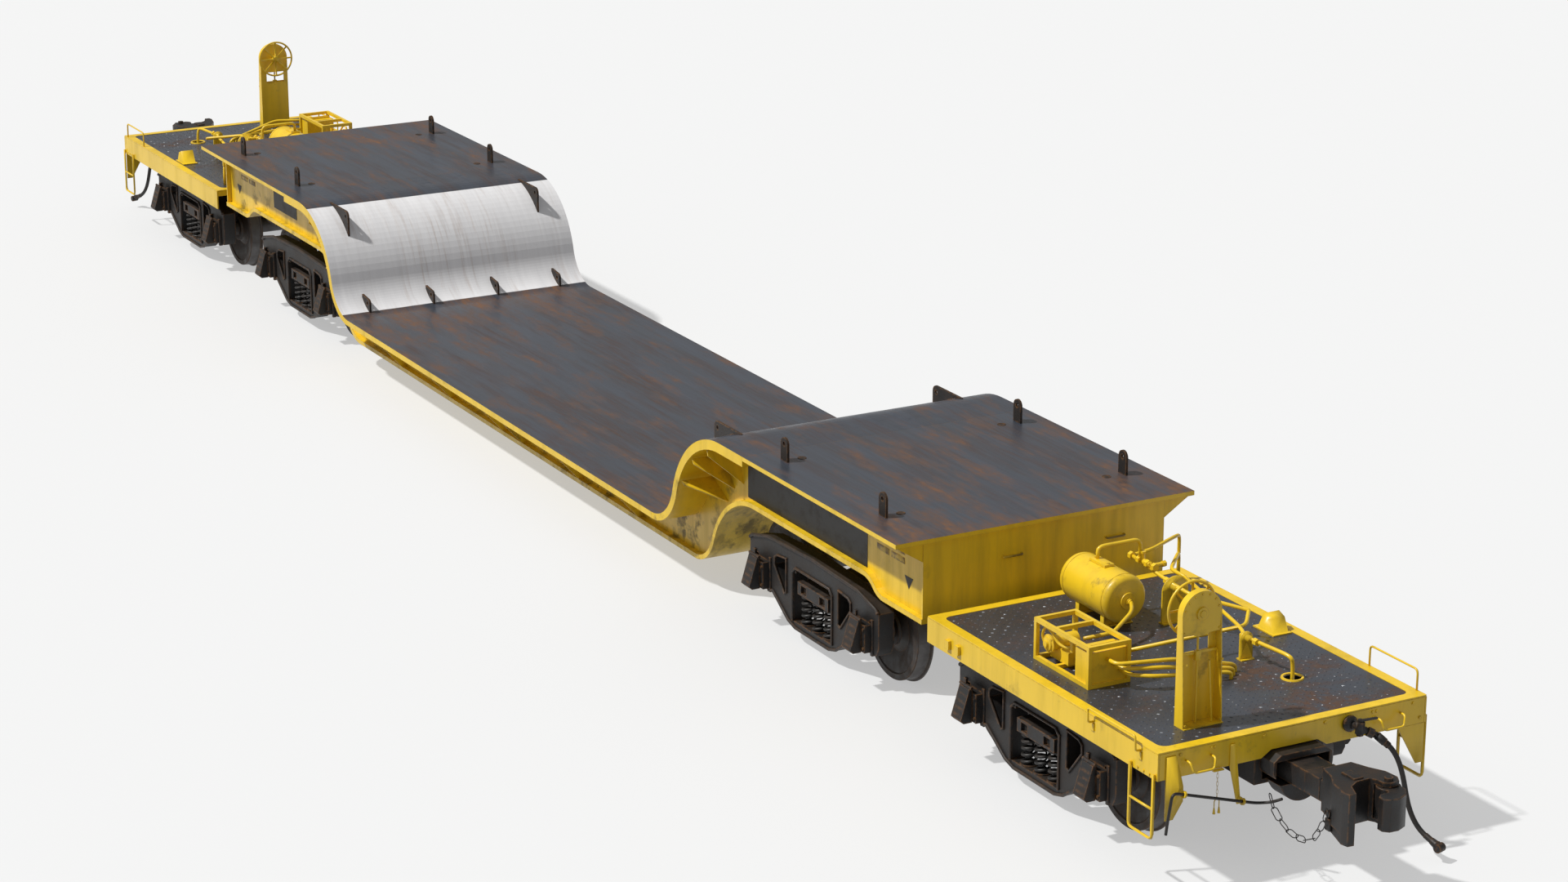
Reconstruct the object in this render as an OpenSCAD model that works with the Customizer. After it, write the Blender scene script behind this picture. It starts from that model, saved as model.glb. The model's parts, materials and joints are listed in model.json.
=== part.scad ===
// Eight-axle depressed-centre railway flat car.
// Frame: +X runs along the car to its B end, +Z is up, and Z = 0 is the level
// that the wheel flanges stand on. The A end is the B end turned half a turn.

/* [Load deck] */
// Width of the load deck
deck_w = 2944; // [2500:1:3200]
// Overall length of the load deck
deck_len = 16342; // [15600:1:19600]
// Length of the flat floor in the well
well_len = 7400; // [6000:1:8800]
// Height of the well floor
well_z = 668; // [600:1:800]
// Height of the raised decks
raised_z = 1710; // [1620:1:1900]
// Thickness of the well floor plate
well_t = 60; // [30:1:90]
// Thickness of the raised deck plates
deck_t = 40; // [20:1:60]
// Thickness of the curved plate at the top of the slope
knee_t = 95; // [60:1:110]
// Radius of the curve at the foot of the slope
foot_r = 450; // [350:1:550]
// Radius of the curve at the top of the slope
knee_r = 950; // [800:1:1050]

/* [Box girder] */
// Distance between the outer faces of the side webs
web_span = 2280; // [1900:1:2400]
// Thickness of the webs
web_t = 16; // [8:1:30]
// Distance between the inner girder webs
inner_span = 800; // [600:1:1200]
// Width of the bottom plate
bottom_w = 2400; // [2300:1:2500]
// Thickness of the bottom plate
bottom_t = 45; // [20:1:50]
// Height of the underside of the well
well_under_z = 280; // [220:1:320]
// Height of the underside above the inner trucks
arch_z = 1090; // [1080:1:1120]
// Height of the underside at the body bolsters
bolster_z = 958; // [950:1:970]

/* [Running gear] */
// Diameter of the wheel tread
wheel_d = 914; // [860:1:940]
// Height of the wheel flange
flange_h = 25; // [22:1:30]
// Distance between the flange backs
back_to_back = 1354; // [1340:1:1360]
// Width of a wheel rim
rim_w = 145; // [127:1:150]
// Diameter of the axle body
axle_d = 180; // [150:1:200]
// Diameter of the journals
journal_d = 165; // [140:1:175]
// Distance between the axles of a truck
wheelbase = 1830; // [1750:1:1900]
// Distance from the middle of the car to the inner truck centres
inner_truck_x = 6090; // [6040:1:6200]
// Distance between the two truck centres of an end
truck_gap = 3650; // [3500:1:3700]
// Distance between the middles of the side frames
frame_span = 2030; // [1990:1:2060]
// Outer diameter of the truck springs
spring_d = 140; // [120:1:150]
// Diameter of the spring wire
spring_wire = 28; // [20:1:32]
// Travel of the springs
spring_travel = 50; // [20:1:50]

/* [End platforms] */
// Width of the end platforms
platform_w = 2504; // [2400:1:2700]
// Distance from the middle of the car to the end of a platform
platform_end_x = 11682; // [11600:1:11800]
// Distance from the middle of the car to the inner edge of a platform
platform_start_x = 8321; // [8300:1:8400]
// Height of the platform top
platform_z = 1106; // [1100:1:1160]
// Height of the yellow fascia plates
fascia_h = 227; // [150:1:227]
// Thickness of the fascia plates
fascia_t = 16; // [8:1:25]
// Width of the raised rim round the tread plate
rim_plate_w = 95; // [60:1:140]
// Half-width of the span bolster beam
beam_half_w = 300; // [240:1:340]

/* [Brake gear] */
// Radius of the air reservoir
tank_r = 205; // [150:1:230]
// Length of the air reservoir
tank_len = 760; // [600:1:800]
// Radius of the hand brake wheel
brake_wheel_r = 225; // [190:1:260]
// Width of the hand brake stand
stand_w = 360; // [300:1:420]
// Height of the middle of the brake wheel
brake_wheel_z = 1995; // [1850:1:2100]
// Outer diameter of the brake pipes
pipe_d = 34; // [26:1:38]
// Outer diameter of the air hose
hose_d = 42; // [34:1:46]

/* [Coupler] */
// Height of the middle of the coupler shank
coupler_z = 777; // [760:1:790]
// Width of the coupler shank
shank_w = 260; // [200:1:280]
// Height of the coupler shank
shank_h = 172; // [150:1:180]
// Radius of the knuckle pin
knuckle_pin_r = 21; // [16:1:24]

/* [Hidden] */

$fn = 48;
yellow = [0.93, 0.73, 0.08];
deck_grey = [0.25, 0.28, 0.31];
cast_black = [0.10, 0.09, 0.085];

weld_gap = 1;                 // between plates that stay separate pieces
seat_gap = 1;                 // round a loose fit, such as a centre plate
running_fit = 0.05;           // round a turning shaft
a_end = 180;
b_end = 0;

half_w = deck_w / 2;
half_deck = deck_len / 2;
half_well = well_len / 2;
web_y = web_span / 2;
inner_y = inner_span / 2;

tread_r = wheel_d / 2;
flange_r = tread_r + flange_h;
axle_z = flange_r;
half_base = wheelbase / 2;
outer_truck_x = inner_truck_x + truck_gap;
span_x = (inner_truck_x + outer_truck_x) / 2;

// ---------- curves ----------

// Points on an arc in the X-Z plane, from angle a0 to angle a1
function arc(x, z, r, a0, a1, n) =
    [for (i = [0 : n]) let (a = a0 + (a1 - a0) * i / n) [x + r * cos(a), z + r * sin(a)]];

// An S curve: a hollow arc at the foot and a round one at the knee, which meet
// where their centres line up. grow0 and grow1 move the line outwards, under
// the plate, at its two ends.
function s_curve_knee_x(x, z_low, r_low, z_high, r_high) =
    x + sqrt(pow(r_low + r_high, 2) - pow(z_low + r_low - (z_high - r_high), 2));
function s_curve(x, z_low, r_low, z_high, r_high, grow0, grow1, n = 18) =
    let (z1 = z_low + r_low, z2 = z_high - r_high,
         x2 = s_curve_knee_x(x, z_low, r_low, z_high, r_high),
         meet = atan2(z2 - z1, x2 - x),
         mid = (grow0 + grow1) / 2)
    concat(
        [for (i = [0 : n]) let (a = -90 + (meet + 90) * i / n, r = r_low + grow0 + (mid - grow0) * i / n)
            [x + r * cos(a), z1 + r * sin(a)]],
        [for (i = [1 : n]) let (a = 180 + meet - (90 + meet) * i / n, r = r_high - mid - (grow1 - mid) * i / n)
            [x2 + r * cos(a), z2 + r * sin(a)]]);

knee_x = s_curve_knee_x(half_well, well_z, foot_r, raised_z, knee_r);
knee_flat = 445;              // the thick plate runs on this far past the knee
thick_end_x = knee_x + knee_flat;

deck_top_curve = s_curve(half_well, well_z, foot_r, raised_z, knee_r, 0, 0);
deck_under_curve = s_curve(half_well, well_z, foot_r, raised_z, knee_r, well_t, knee_t);

// The bottom plate rises from the well to the arch over the inner truck
arch_foot_r = 360;
arch_knee_r = 870;
arch_foot_x = half_well + 344;
arch_top_curve = s_curve(arch_foot_x, well_under_z + bottom_t, arch_foot_r, arch_z + bottom_t, arch_knee_r, 0, 0);
arch_under_curve = s_curve(arch_foot_x, well_under_z + bottom_t, arch_foot_r, arch_z + bottom_t, arch_knee_r,
                           bottom_t, bottom_t);

// and drops to the body bolster between the two trucks
drop_x = 7160;
drop_len = 340;
drop_h = arch_z - bolster_z;
drop_r = (drop_len * drop_len + drop_h * drop_h) / (4 * drop_h);
drop_a = asin(drop_len / 2 / drop_r);
function drop_curve(grow) = concat(
    arc(drop_x, arch_z - drop_r, drop_r + grow, 90, 90 - drop_a, 5),
    arc(drop_x + drop_len, bolster_z + drop_r, drop_r - grow, 270 - drop_a, 270, 5));

end_plate_t = 20;
end_plate_x = half_deck - 31;         // outer face of the body end plate
girder_end_x = end_plate_x - end_plate_t;

function reversed(v) = [for (i = [len(v) - 1 : -1 : 0]) v[i]];

// ---------- helpers ----------

module at_end(turn) {
    rotate([0, 0, turn]) children();
}

module both_ends() {
    at_end(a_end) children();
    at_end(b_end) children();
}

module both_sides() {
    children();
    mirror([0, 1, 0]) children();
}

// A plate whose outline is in the X-Z plane, from y0 to y1
module plate_xz(points, y0, y1) {
    translate([0, y1, 0]) rotate([90, 0, 0]) linear_extrude(y1 - y0) polygon(points);
}

// A plate whose outline is in the Y-Z plane, from x0 to x1
module plate_yz(points, x0, x1) {
    translate([x0, 0, 0]) rotate([90, 0, 90]) linear_extrude(x1 - x0) polygon(points);
}

// A plate whose outline is in the X-Y plane, from z0 to z1
module plate_xy(points, z0, z1) {
    translate([0, 0, z0]) linear_extrude(z1 - z0) polygon(points);
}

module box(x0, x1, y0, y1, z0, z1) {
    translate([x0, y0, z0]) cube([x1 - x0, y1 - y0, z1 - z0]);
}

module rod_x(x0, x1, y, z, r) {
    translate([x0, y, z]) rotate([0, 90, 0]) cylinder(r = r, h = x1 - x0);
}

module rod_y(x, y0, y1, z, r) {
    translate([x, y0, z]) rotate([-90, 0, 0]) cylinder(r = r, h = y1 - y0);
}

function unit(v) = v / norm(v);

// A route with its inner corners rounded; bend is the length cut from each leg
function rounded(route, bend, n = 4) = concat([route[0]],
    [for (i = [1 : 1 : len(route) - 2])
        let (p = route[i],
             a = p + unit(route[i - 1] - p) * min(bend, norm(route[i - 1] - p) * 0.45),
             b = p + unit(route[i + 1] - p) * min(bend, norm(route[i + 1] - p) * 0.45))
        for (k = [0 : n]) let (s = k / n) a * (1 - s) * (1 - s) + p * 2 * s * (1 - s) + b * s * s],
    [route[len(route) - 1]]);

// A round bar or pipe swept along a route as one closed solid
module swept(route, r, sides = 8) {
    last = len(route) - 1;
    up = [0.31, 0.22, 0.93];
    points = [for (i = [0 : last])
        let (t = unit(route[min(i + 1, last)] - route[max(i - 1, 0)]),
             n = unit(cross(up, t)), b = cross(t, n))
        for (k = [0 : sides - 1]) route[i] + r * (n * cos(360 * k / sides) + b * sin(360 * k / sides))];
    faces = concat(
        [[for (k = [0 : sides - 1]) k]],
        [for (i = [0 : last - 1]) for (k = [0 : sides - 1])
            [i * sides + k, (i + 1) * sides + k, (i + 1) * sides + (k + 1) % sides, i * sides + (k + 1) % sides]],
        [[for (k = [sides - 1 : -1 : 0]) last * sides + k]]);
    polyhedron(points, faces);
}

// ---------- car body ----------

module well_floor() {
    color(deck_grey) box(-half_well + weld_gap, half_well - weld_gap, -half_w, half_w, well_z - well_t, well_z);
}

module slope_plates() {
    outline = concat(deck_top_curve, [[thick_end_x, raised_z], [thick_end_x, raised_z - knee_t]],
                     reversed(deck_under_curve));
    color([0.85, 0.85, 0.86]) both_ends() plate_xz(outline, -half_w, half_w);
}

module raised_decks() {
    color(deck_grey) both_ends()
        box(thick_end_x + weld_gap, half_deck, -half_w, half_w, raised_z - deck_t, raised_z);
}

// Outline of a web at an end, between the deck and the bottom plate
web_start_x = half_well + weld_gap;
web_outline = concat(
    [[web_start_x, well_under_z + bottom_t], [web_start_x, well_z - well_t]],
    [for (p = deck_under_curve) if (p[0] > web_start_x + 1) p],
    [[thick_end_x, raised_z - knee_t], [thick_end_x, raised_z - deck_t], [girder_end_x, raised_z - deck_t]],
    reversed(concat(arch_top_curve, drop_curve(bottom_t), [[girder_end_x, bolster_z + bottom_t]])));

module web_pair(y_outer) {
    both_sides() {
        box(-half_well + weld_gap, half_well - weld_gap, y_outer - web_t, y_outer,
            well_under_z + bottom_t, well_z - well_t);
    }
    both_ends() both_sides() plate_xz(web_outline, y_outer - web_t, y_outer);
}

module side_webs() {
    color(yellow) web_pair(web_y);
}

module bottom_plates() {
    under = concat([[web_start_x, well_under_z]], arch_under_curve, drop_curve(0), [[end_plate_x, bolster_z]]);
    top = concat([[web_start_x, well_under_z + bottom_t]], arch_top_curve, drop_curve(bottom_t),
                 [[end_plate_x, bolster_z + bottom_t]]);
    color(yellow) {
        box(-half_well + weld_gap, half_well - weld_gap, -bottom_w / 2, bottom_w / 2,
            well_under_z, well_under_z + bottom_t);
        both_ends() plate_xz(concat(under, reversed(top)), -bottom_w / 2, bottom_w / 2);
    }
}

end_plate_y = web_y + 50;
end_gusset_drop = 170;
handhold_r = 9;

module end_plates() {
    color(yellow) both_ends() {
        box(girder_end_x, end_plate_x, -end_plate_y, end_plate_y, bolster_z + bottom_t, raised_z - deck_t);
        for (y = [-330, 690])
            swept(rounded([[end_plate_x - 2, y - 90, 1430], [end_plate_x + 26, y - 90, 1424],
                           [end_plate_x + 26, y + 90, 1424], [end_plate_x - 2, y + 90, 1430]], 20), handhold_r);
    }
}

// Upright gussets under the deck's overhang, and ribs behind the slope
gusset_t = 12;
well_gussets = 3;
well_gusset_x = 234;
well_gusset_step = 1316;
gusset_reach = half_w - web_y - 20;

module well_gusset() {
    plate_yz([[web_y, well_z - well_t], [web_y + gusset_reach, well_z - well_t],
              [bottom_w / 2, well_under_z + bottom_t], [web_y, well_under_z + bottom_t]],
             -gusset_t / 2, gusset_t / 2);
}

module end_gusset() {
    plate_yz([[end_plate_y, raised_z - deck_t], [half_w - 15, raised_z - deck_t],
              [end_plate_y, raised_z - deck_t - end_gusset_drop]], girder_end_x + 2, girder_end_x + 2 + gusset_t);
}

module slope_rib(angle) {
    knee_z = raised_z - knee_r;
    reach = knee_r - knee_t;
    translate([knee_x, 0, knee_z]) rotate([0, -angle, 0])
        plate_xy([[reach - 6, web_y], [reach - 6, web_y + gusset_reach], [reach - 60, web_y + gusset_reach],
                  [reach - 360, web_y]], -gusset_t / 2, gusset_t / 2);
}

module stiffeners() {
    color(yellow) both_ends() both_sides() {
        for (i = [0 : well_gussets - 1])
            translate([well_gusset_x + i * well_gusset_step, 0, 0]) well_gusset();
        end_gusset();
        slope_ribs();
        for (x = [thick_end_x + 900, thick_end_x + 1800])
            plate_yz([[web_y, raised_z - deck_t], [web_y + gusset_reach, raised_z - deck_t],
                      [web_y, raised_z - deck_t - end_gusset_drop]], x, x + gusset_t);
    }
}

module slope_ribs() {
    for (angle = [108, 131, 154]) slope_rib(angle);
}

bearer_t = 12;
well_bearer_step = 1300;

module bearer(x, z0, z1) {
    bay = web_y - web_t;
    box(x, x + bearer_t, -bay, -inner_y, z0, z1);
    box(x, x + bearer_t, -inner_y + web_t, inner_y - web_t, z0, z1);
    box(x, x + bearer_t, inner_y, bay, z0, z1);
}

module inner_girders() {
    color(yellow) {
        web_pair(inner_y);
        for (i = [-2 : 2])
            bearer(i * well_bearer_step - bearer_t / 2, well_under_z + bottom_t, well_z - well_t);
        both_ends() for (x = [thick_end_x + 250, thick_end_x + 1100])
            bearer(x, arch_z + bottom_t, raised_z - deck_t);
        both_ends() for (x = [span_x - 260, span_x + 140])
            bearer(x, bolster_z + bottom_t, raised_z - deck_t);
    }
}

// The body rests on the span bolsters at two round centre plates
centre_plate_r = 250;
centre_plate_h = 30;

module centre_plates() {
    color(cast_black) both_ends() {
        translate([span_x, 0, bolster_z - centre_plate_h]) cylinder(r = centre_plate_r, h = centre_plate_h);
        both_sides() translate([span_x, side_bearing_y, bolster_z - 18]) cylinder(r = 70, h = 18);
    }
}

lug_t = 22;
lug_w = 120;
lug_h = 215;
lug_hole_r = 20;
deck_lug_x = [thick_end_x + 279, thick_end_x + 1991];
lug_y = 1195;
slope_lug_x = knee_x - 680;
slope_lug_top = raised_z - 8;
well_lug_x = half_well + 120;
well_lug_top = well_z + 162;
well_lug_y = [390, 1150];

// Height just above the slope's top surface, at a place along the car
function foot_z(x) = well_z + foot_r - sqrt(pow(foot_r - weld_gap, 2) - pow(x - half_well, 2));
function knee_z_at(x) = raised_z - knee_r + sqrt(pow(knee_r + weld_gap, 2) - pow(knee_x - x, 2));

module hole_y(x, z, r) {
    rod_y(x, -100, 100, z, r);
}

module deck_lug() {
    translate([0, 0, raised_z]) difference() {
        union() {
            box(-lug_w / 2, lug_w / 2, -lug_t / 2, lug_t / 2, 0, lug_h - lug_w / 2);
            rod_y(0, -lug_t / 2, lug_t / 2, lug_h - lug_w / 2, lug_w / 2);
        }
        hole_y(0, lug_h - lug_w / 2, lug_hole_r);
    }
}

module slope_lug() {
    back_x = knee_x - 160;
    difference() {
        plate_xz(concat(
            [[slope_lug_x, slope_lug_top - 70]],
            arc(slope_lug_x + 60, slope_lug_top - 60, 60, 180, 90, 5),
            [[back_x, slope_lug_top]],
            [for (i = [0 : 8]) let (x = back_x + (slope_lug_x - back_x) * i / 8) [x, knee_z_at(x)]]),
            -lug_t / 2, lug_t / 2);
        hole_y(slope_lug_x + 62, slope_lug_top - 62, lug_hole_r);
    }
}

module well_lug() {
    back_x = well_lug_x + 210;
    difference() {
        plate_xz(concat(
            arc(well_lug_x + 45, well_lug_top - 45, 45, 180, 90, 5),
            [[back_x, well_lug_top + 20]],
            [for (i = [0 : 8]) let (x = back_x + (well_lug_x - back_x) * i / 8) [x, foot_z(x)]]),
            -lug_t / 2, lug_t / 2);
        hole_y(well_lug_x + 62, well_lug_top - 52, lug_hole_r);
    }
}

module tie_down_lugs() {
    color([0.17, 0.15, 0.14]) both_ends() both_sides() {
        for (x = deck_lug_x) translate([x, lug_y, 0]) deck_lug();
        translate([0, lug_y - 45, 0]) slope_lug();
        for (y = well_lug_y) translate([0, y, 0]) well_lug();
    }
}

// ---------- trucks ----------

bowl_z = 655;                 // seat of a truck's centre bowl
bowl_r = 205;
bowl_wall = 28;
bowl_lip = 20;
spring_seat_z = 195;
spring_top_z = 470;
spring_pitch_x = 200;
spring_pitch_y = 168;
bolster_half_w = 195;
bolster_end_half_w = 275;
frame_t = 150;
frame_y = frame_span / 2;
side_bearing_y = 640;

module wheel_profile() {
    back = back_to_back / 2;
    face = back + rim_w;
    hub_r = axle_d / 2 + 55;
    rim_r = tread_r - 60;
    polygon([[0, back - 10], [hub_r, back - 10], [hub_r + 15, back + 32], [rim_r - 15, back + 50],
             [rim_r, back + 4], [rim_r + 12, back], [flange_r - 10, back], [flange_r, back + 9],
             [flange_r - 4, back + 20], [tread_r + 4, back + 32], [tread_r, back + 44],
             [tread_r - 5, face - 8], [tread_r - 12, face], [rim_r, face], [rim_r - 12, face - 10],
             [hub_r + 60, back + 86], [hub_r, back + 130], [hub_r, face + 12], [0, face + 12]]);
}

journal_end_y = frame_y + 45;

module wheelset() {
    rotate([-90, 0, 0]) {
        both_halves() rotate_extrude($fn = 96) wheel_profile();
        cylinder(r = axle_d / 2, h = back_to_back + 100, center = true);
        cylinder(r = journal_d / 2, h = 2 * journal_end_y, center = true);
        both_halves() translate([0, 0, frame_y - frame_t / 2 - 42]) cylinder(r = journal_d / 2 + 18, h = 32);
    }
}

module both_halves() {
    children();
    mirror([0, 0, 1]) children();
}

module wheelset_at(turn, truck_x, side) {
    color([0.16, 0.15, 0.15]) at_end(turn) translate([truck_x + side * half_base, 0, axle_z]) wheelset();
}

module truck_bolster(turn, truck_x) {
    end_y = frame_y + 75;
    color(cast_black) at_end(turn) translate([truck_x, 0, 0]) {
        difference() {
            union() {
                plate_yz([[-860, 472], [-600, 350], [600, 350], [860, 472], [end_y, 472], [end_y, 590],
                          [860, 605], [600, bowl_z], [-600, bowl_z], [-860, 605], [-end_y, 590],
                          [-end_y, 472]], -bolster_half_w, bolster_half_w);
                both_sides() box(-bolster_end_half_w, bolster_end_half_w, 800, end_y, spring_top_z, 588);
            }
            both_sides() for (x = [-215, 120])
                box(x, x + 95, end_y - 30, end_y + 5, 492, 566);
        }
        difference() {
            translate([0, 0, bowl_z]) cylinder(r = bowl_r + bowl_wall, h = bowl_lip);
            translate([0, 0, bowl_z]) cylinder(r = bowl_r, h = bowl_lip + 1);
        }
        both_sides() box(-90, 90, side_bearing_y - 70, side_bearing_y + 70, 600, 660);
    }
}

box_half_w = 135;
box_end_y = frame_y + 150;

// One cast side frame, seen from outside, with its middle at x = 0
module side_frame() {
    y0 = frame_y - frame_t / 2;
    y1 = frame_y + frame_t / 2;
    half = [[0, 880], [800, 850], [1120, 762], [1160, 735], [1160, 420], [1120, 345], [800, 330], [720, 352],
            [430, 165], [300, 130], [0, 130]];
    window = [[470, 738], [640, 722], [685, 690], [690, 620], [505, 402], [470, 420]];
    difference() {
        union() {
            plate_xz(concat([for (p = half) p], reversed([for (p = half) if (p[0] > 0) [-p[0], p[1]]])), y0, y1);
            for (s = [-1, 1])
                box(s * half_base - box_half_w, s * half_base + box_half_w, y1 - 1, box_end_y,
                    axle_z - 120, axle_z + 130);
        }
        box(-350, 350, y0 - 1, y1 + 1, spring_seat_z, 650);
        box(-300, 300, y0 - 1, y1 + 1, 649, 700);
        for (s = [-1, 1]) {
            plate_xz([for (p = window) [s * p[0], p[1]]], y0 - 1, y1 + 1);
            rod_y(s * half_base, y0 - 1, journal_end_y + 3, axle_z, journal_d / 2 + running_fit);
            for (z = [560, 470]) box(s * 1020 - 22, s * 1020 + 22, y1 - 40, y1 + 1, z, z + 70);
        }
    }
}

// The ribbed, sloping lid of a journal box
module journal_lid(x) {
    lid_y = box_end_y + 1;
    translate([x, 0, 0]) {
        difference() {
            plate_yz([[lid_y, axle_z - 128], [lid_y, axle_z + 165], [lid_y + 28, axle_z + 165],
                      [lid_y + 108, axle_z - 100], [lid_y + 80, axle_z - 128]], -78, 78);
            for (z = [-70, -15, 40, 95])
                translate([0, lid_y + 76 - (z + 70) * 0.30, axle_z + z])
                    rotate([-17, 0, 0]) cube([108, 30, 20], center = true);
        }
    }
}

module side_frames(turn, truck_x) {
    color(cast_black) at_end(turn) translate([truck_x, 0, 0]) both_sides() {
        side_frame();
        for (s = [-1, 1]) journal_lid(s * half_base);
    }
}

spring_turns = 5;

module springs(turn, truck_x) {
    color([0.13, 0.12, 0.12]) at_end(turn) translate([truck_x, 0, 0]) both_sides() {
        for (i = [-1, 0, 1]) translate([i * spring_pitch_x, frame_y - 2, 0])
            translate([0, 0, spring_seat_z]) spring_body();
    }
}

// A spring's outer form: flat coils stacked between its seats
module spring_body() {
    h = spring_top_z - spring_seat_z;
    pitch = h / spring_turns;
    cylinder(r = spring_d / 2 - spring_wire, h = h);
    for (i = [0 : spring_turns - 1])
        translate([0, 0, (i + 0.5) * pitch - spring_wire / 2])
            cylinder(r = spring_d / 2, h = spring_wire);
}

// ---------- span bolsters ----------

beam_under_z = 700;
inner_beam_top = 915;
outer_beam_top = 1030;
beam_start_x = span_x - 2420;
draft_start_x = platform_end_x - 740;
draft_half_w = 320;
draft_under_z = 640;
draft_top_z = 930;
mouth_half_w = 245;
mouth_clear = 12;
striker_out = 118;
coupler_pivot_x = platform_end_x - 440;

module striker() {
    z_mid = 720;
    difference() {
        hull() {
            box(platform_end_x - 60, platform_end_x + striker_out, -270, 270, z_mid + 60, draft_top_z - 54);
            box(platform_end_x - 60, platform_end_x + striker_out, -205, 205, z_mid + 60, draft_top_z - 4);
            rod_x(platform_end_x - 60, platform_end_x + striker_out, 0, z_mid, 200);
        }
        box(platform_end_x - 62, platform_end_x + striker_out + 2, -mouth_half_w, mouth_half_w,
            coupler_z - shank_h / 2 - mouth_clear, coupler_z + shank_h / 2 + mouth_clear);
    }
}

module span_bolster(turn) {
    color(cast_black) at_end(turn) difference() {
        union() {
            plate_xz([[beam_start_x, beam_under_z + 60], [beam_start_x + 120, beam_under_z],
                      [draft_start_x + 20, beam_under_z], [draft_start_x + 20, outer_beam_top],
                      [platform_start_x + 60, outer_beam_top], [platform_start_x + 10, inner_beam_top],
                      [beam_start_x, inner_beam_top]], -beam_half_w, beam_half_w);
            for (x = [inner_truck_x, outer_truck_x])
                translate([x, 0, bowl_z]) cylinder(r = bowl_r - seat_gap, h = beam_under_z - bowl_z + 1);
            box(span_x - 150, span_x + 150, -side_bearing_y - 90, side_bearing_y + 90,
                beam_under_z + 30, inner_beam_top - 10);
            for (s = [-1, 1]) translate([span_x, s * side_bearing_y, inner_beam_top - 11]) cylinder(r = 60, h = 31);
            difference() {
                translate([span_x, 0, inner_beam_top]) cylinder(r = centre_plate_r + 34, h = 28);
                translate([span_x, 0, bolster_z - centre_plate_h])
                    cylinder(r = centre_plate_r + seat_gap, h = 40);
            }
            box(draft_start_x, platform_end_x - 61, -draft_half_w, draft_half_w, draft_under_z, draft_top_z);
            striker();
        }
        box(draft_start_x + 60, platform_end_x + 1, -mouth_half_w, mouth_half_w,
            coupler_z - shank_h / 2 - mouth_clear, coupler_z + shank_h / 2 + mouth_clear);
    }
}

// ---------- end platforms ----------

tread_t = 8;
tread_drop = 5;               // the tread plate lies this far below the rim
rim_t = 13;
half_platform = platform_w / 2;
rim_under = platform_z - rim_t;
fascia_z0 = platform_z - fascia_h;
fascia_top = rim_under - weld_gap;
cutout_half_w = 215;
cutout_skew = 90;
cutout_z = draft_top_z + 6;
cross_beam_x = [8620, 9240, 9860, 10480, 11160];

module platform_outline(inset, r) {
    x0 = platform_start_x + inset;
    x1 = platform_end_x - inset;
    y1 = half_platform - inset;
    rounded_rect(x0, x1, y1, r);
}

// A rectangle with rounded corners
module rounded_rect(x0, x1, y1, r) {
    translate([x0 + r, -y1]) square([x1 - x0 - 2 * r, 2 * y1]);
    translate([x0, -y1 + r]) square([x1 - x0, 2 * y1 - 2 * r]);
    for (x = [x0 + r, x1 - r], y = [-y1 + r, y1 - r]) translate([x, y]) circle(r = r);
}

module platform_frame(turn) {
    color(yellow) at_end(turn) {
        translate([0, 0, rim_under]) linear_extrude(rim_t) difference() {
            platform_outline(0, 12);
            platform_outline(rim_plate_w, 70);
        }
        both_sides() box(platform_start_x, platform_end_x, half_platform - fascia_t, half_platform,
                         fascia_z0, fascia_top);
        inner_y1 = half_platform - fascia_t - weld_gap;
        box(platform_start_x, platform_start_x + fascia_t, -inner_y1, inner_y1, outer_beam_top + 4, fascia_top);
        plate_yz([[-inner_y1, fascia_z0], [-cutout_half_w - cutout_skew, fascia_z0],
                  [-cutout_half_w, cutout_z], [cutout_half_w, cutout_z],
                  [cutout_half_w + cutout_skew, fascia_z0], [inner_y1, fascia_z0],
                  [inner_y1, fascia_top], [-inner_y1, fascia_top]],
                 platform_end_x - fascia_t, platform_end_x);
        for (x = cross_beam_x) box(x, x + 70, -inner_y1, inner_y1, outer_beam_top + 1, tread_under - 1);
        for (y = [-770, -290, 290, 770])
            rod_x(platform_end_x - 1, platform_end_x + 10, y, platform_z - 45, 13);
    }
}

hole_x = 10880;
hole_y_mid = 555;
hole_r = 72;
tread_top = platform_z - tread_drop;
tread_under = tread_top - tread_t;

module tread_plate(turn) {
    color([0.22, 0.24, 0.27]) at_end(turn) translate([0, 0, tread_under]) linear_extrude(tread_t) difference() {
        platform_outline(rim_plate_w + 1, 69);
        translate([hole_x, hole_y_mid]) circle(r = hole_r);
    }
}

// ---------- steps, hand holds and corner brackets ----------

iron_r = 9;
ladder_x0 = platform_end_x - 342;
ladder_x1 = platform_end_x - 28;
ladder_z = 405;
ladder_rung_z = 648;
lever_line = [[platform_end_x + 68, -1052, 762], [platform_end_x + 68, -512, 596]];
lever_r = 12;
lever_play = 2;
lever_dir = unit(lever_line[1] - lever_line[0]);

// An eye that the cut lever turns in
module lever_eye(at) {
    translate(at) rotate([atan2(-lever_dir[1], lever_dir[2]), 0, 0]) difference() {
        cylinder(r = lever_r + 16, h = 16, center = true);
        cylinder(r = lever_r + lever_play, h = 20, center = true);
    }
}

module lever_brackets() {
    x0 = platform_end_x + 1;
    for (p = lever_line) {
        lever_eye(p);
        box(x0, p[0] - lever_r - 6, p[1] - 8, p[1] + 8, p[2] - 26, p[2] + 26);
    }
    p0 = lever_line[0];
    p1 = lever_line[1];
    plate_yz([[-1180, platform_z - 44], [-1090, platform_z - 44], [p0[1] + 30, p0[2] + 40], [p0[1] + 30, p0[2] - 80],
              [-1110, 548], [-1180, 548]], x0, x0 + 12);
    plate_yz([[-600, platform_z - 50], [-555, platform_z - 50], [p1[1] + 22, p1[2] - 40], [p1[1] - 12, p1[2] - 40],
              [-600, fascia_z0]], x0, x0 + 12);
}

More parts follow.
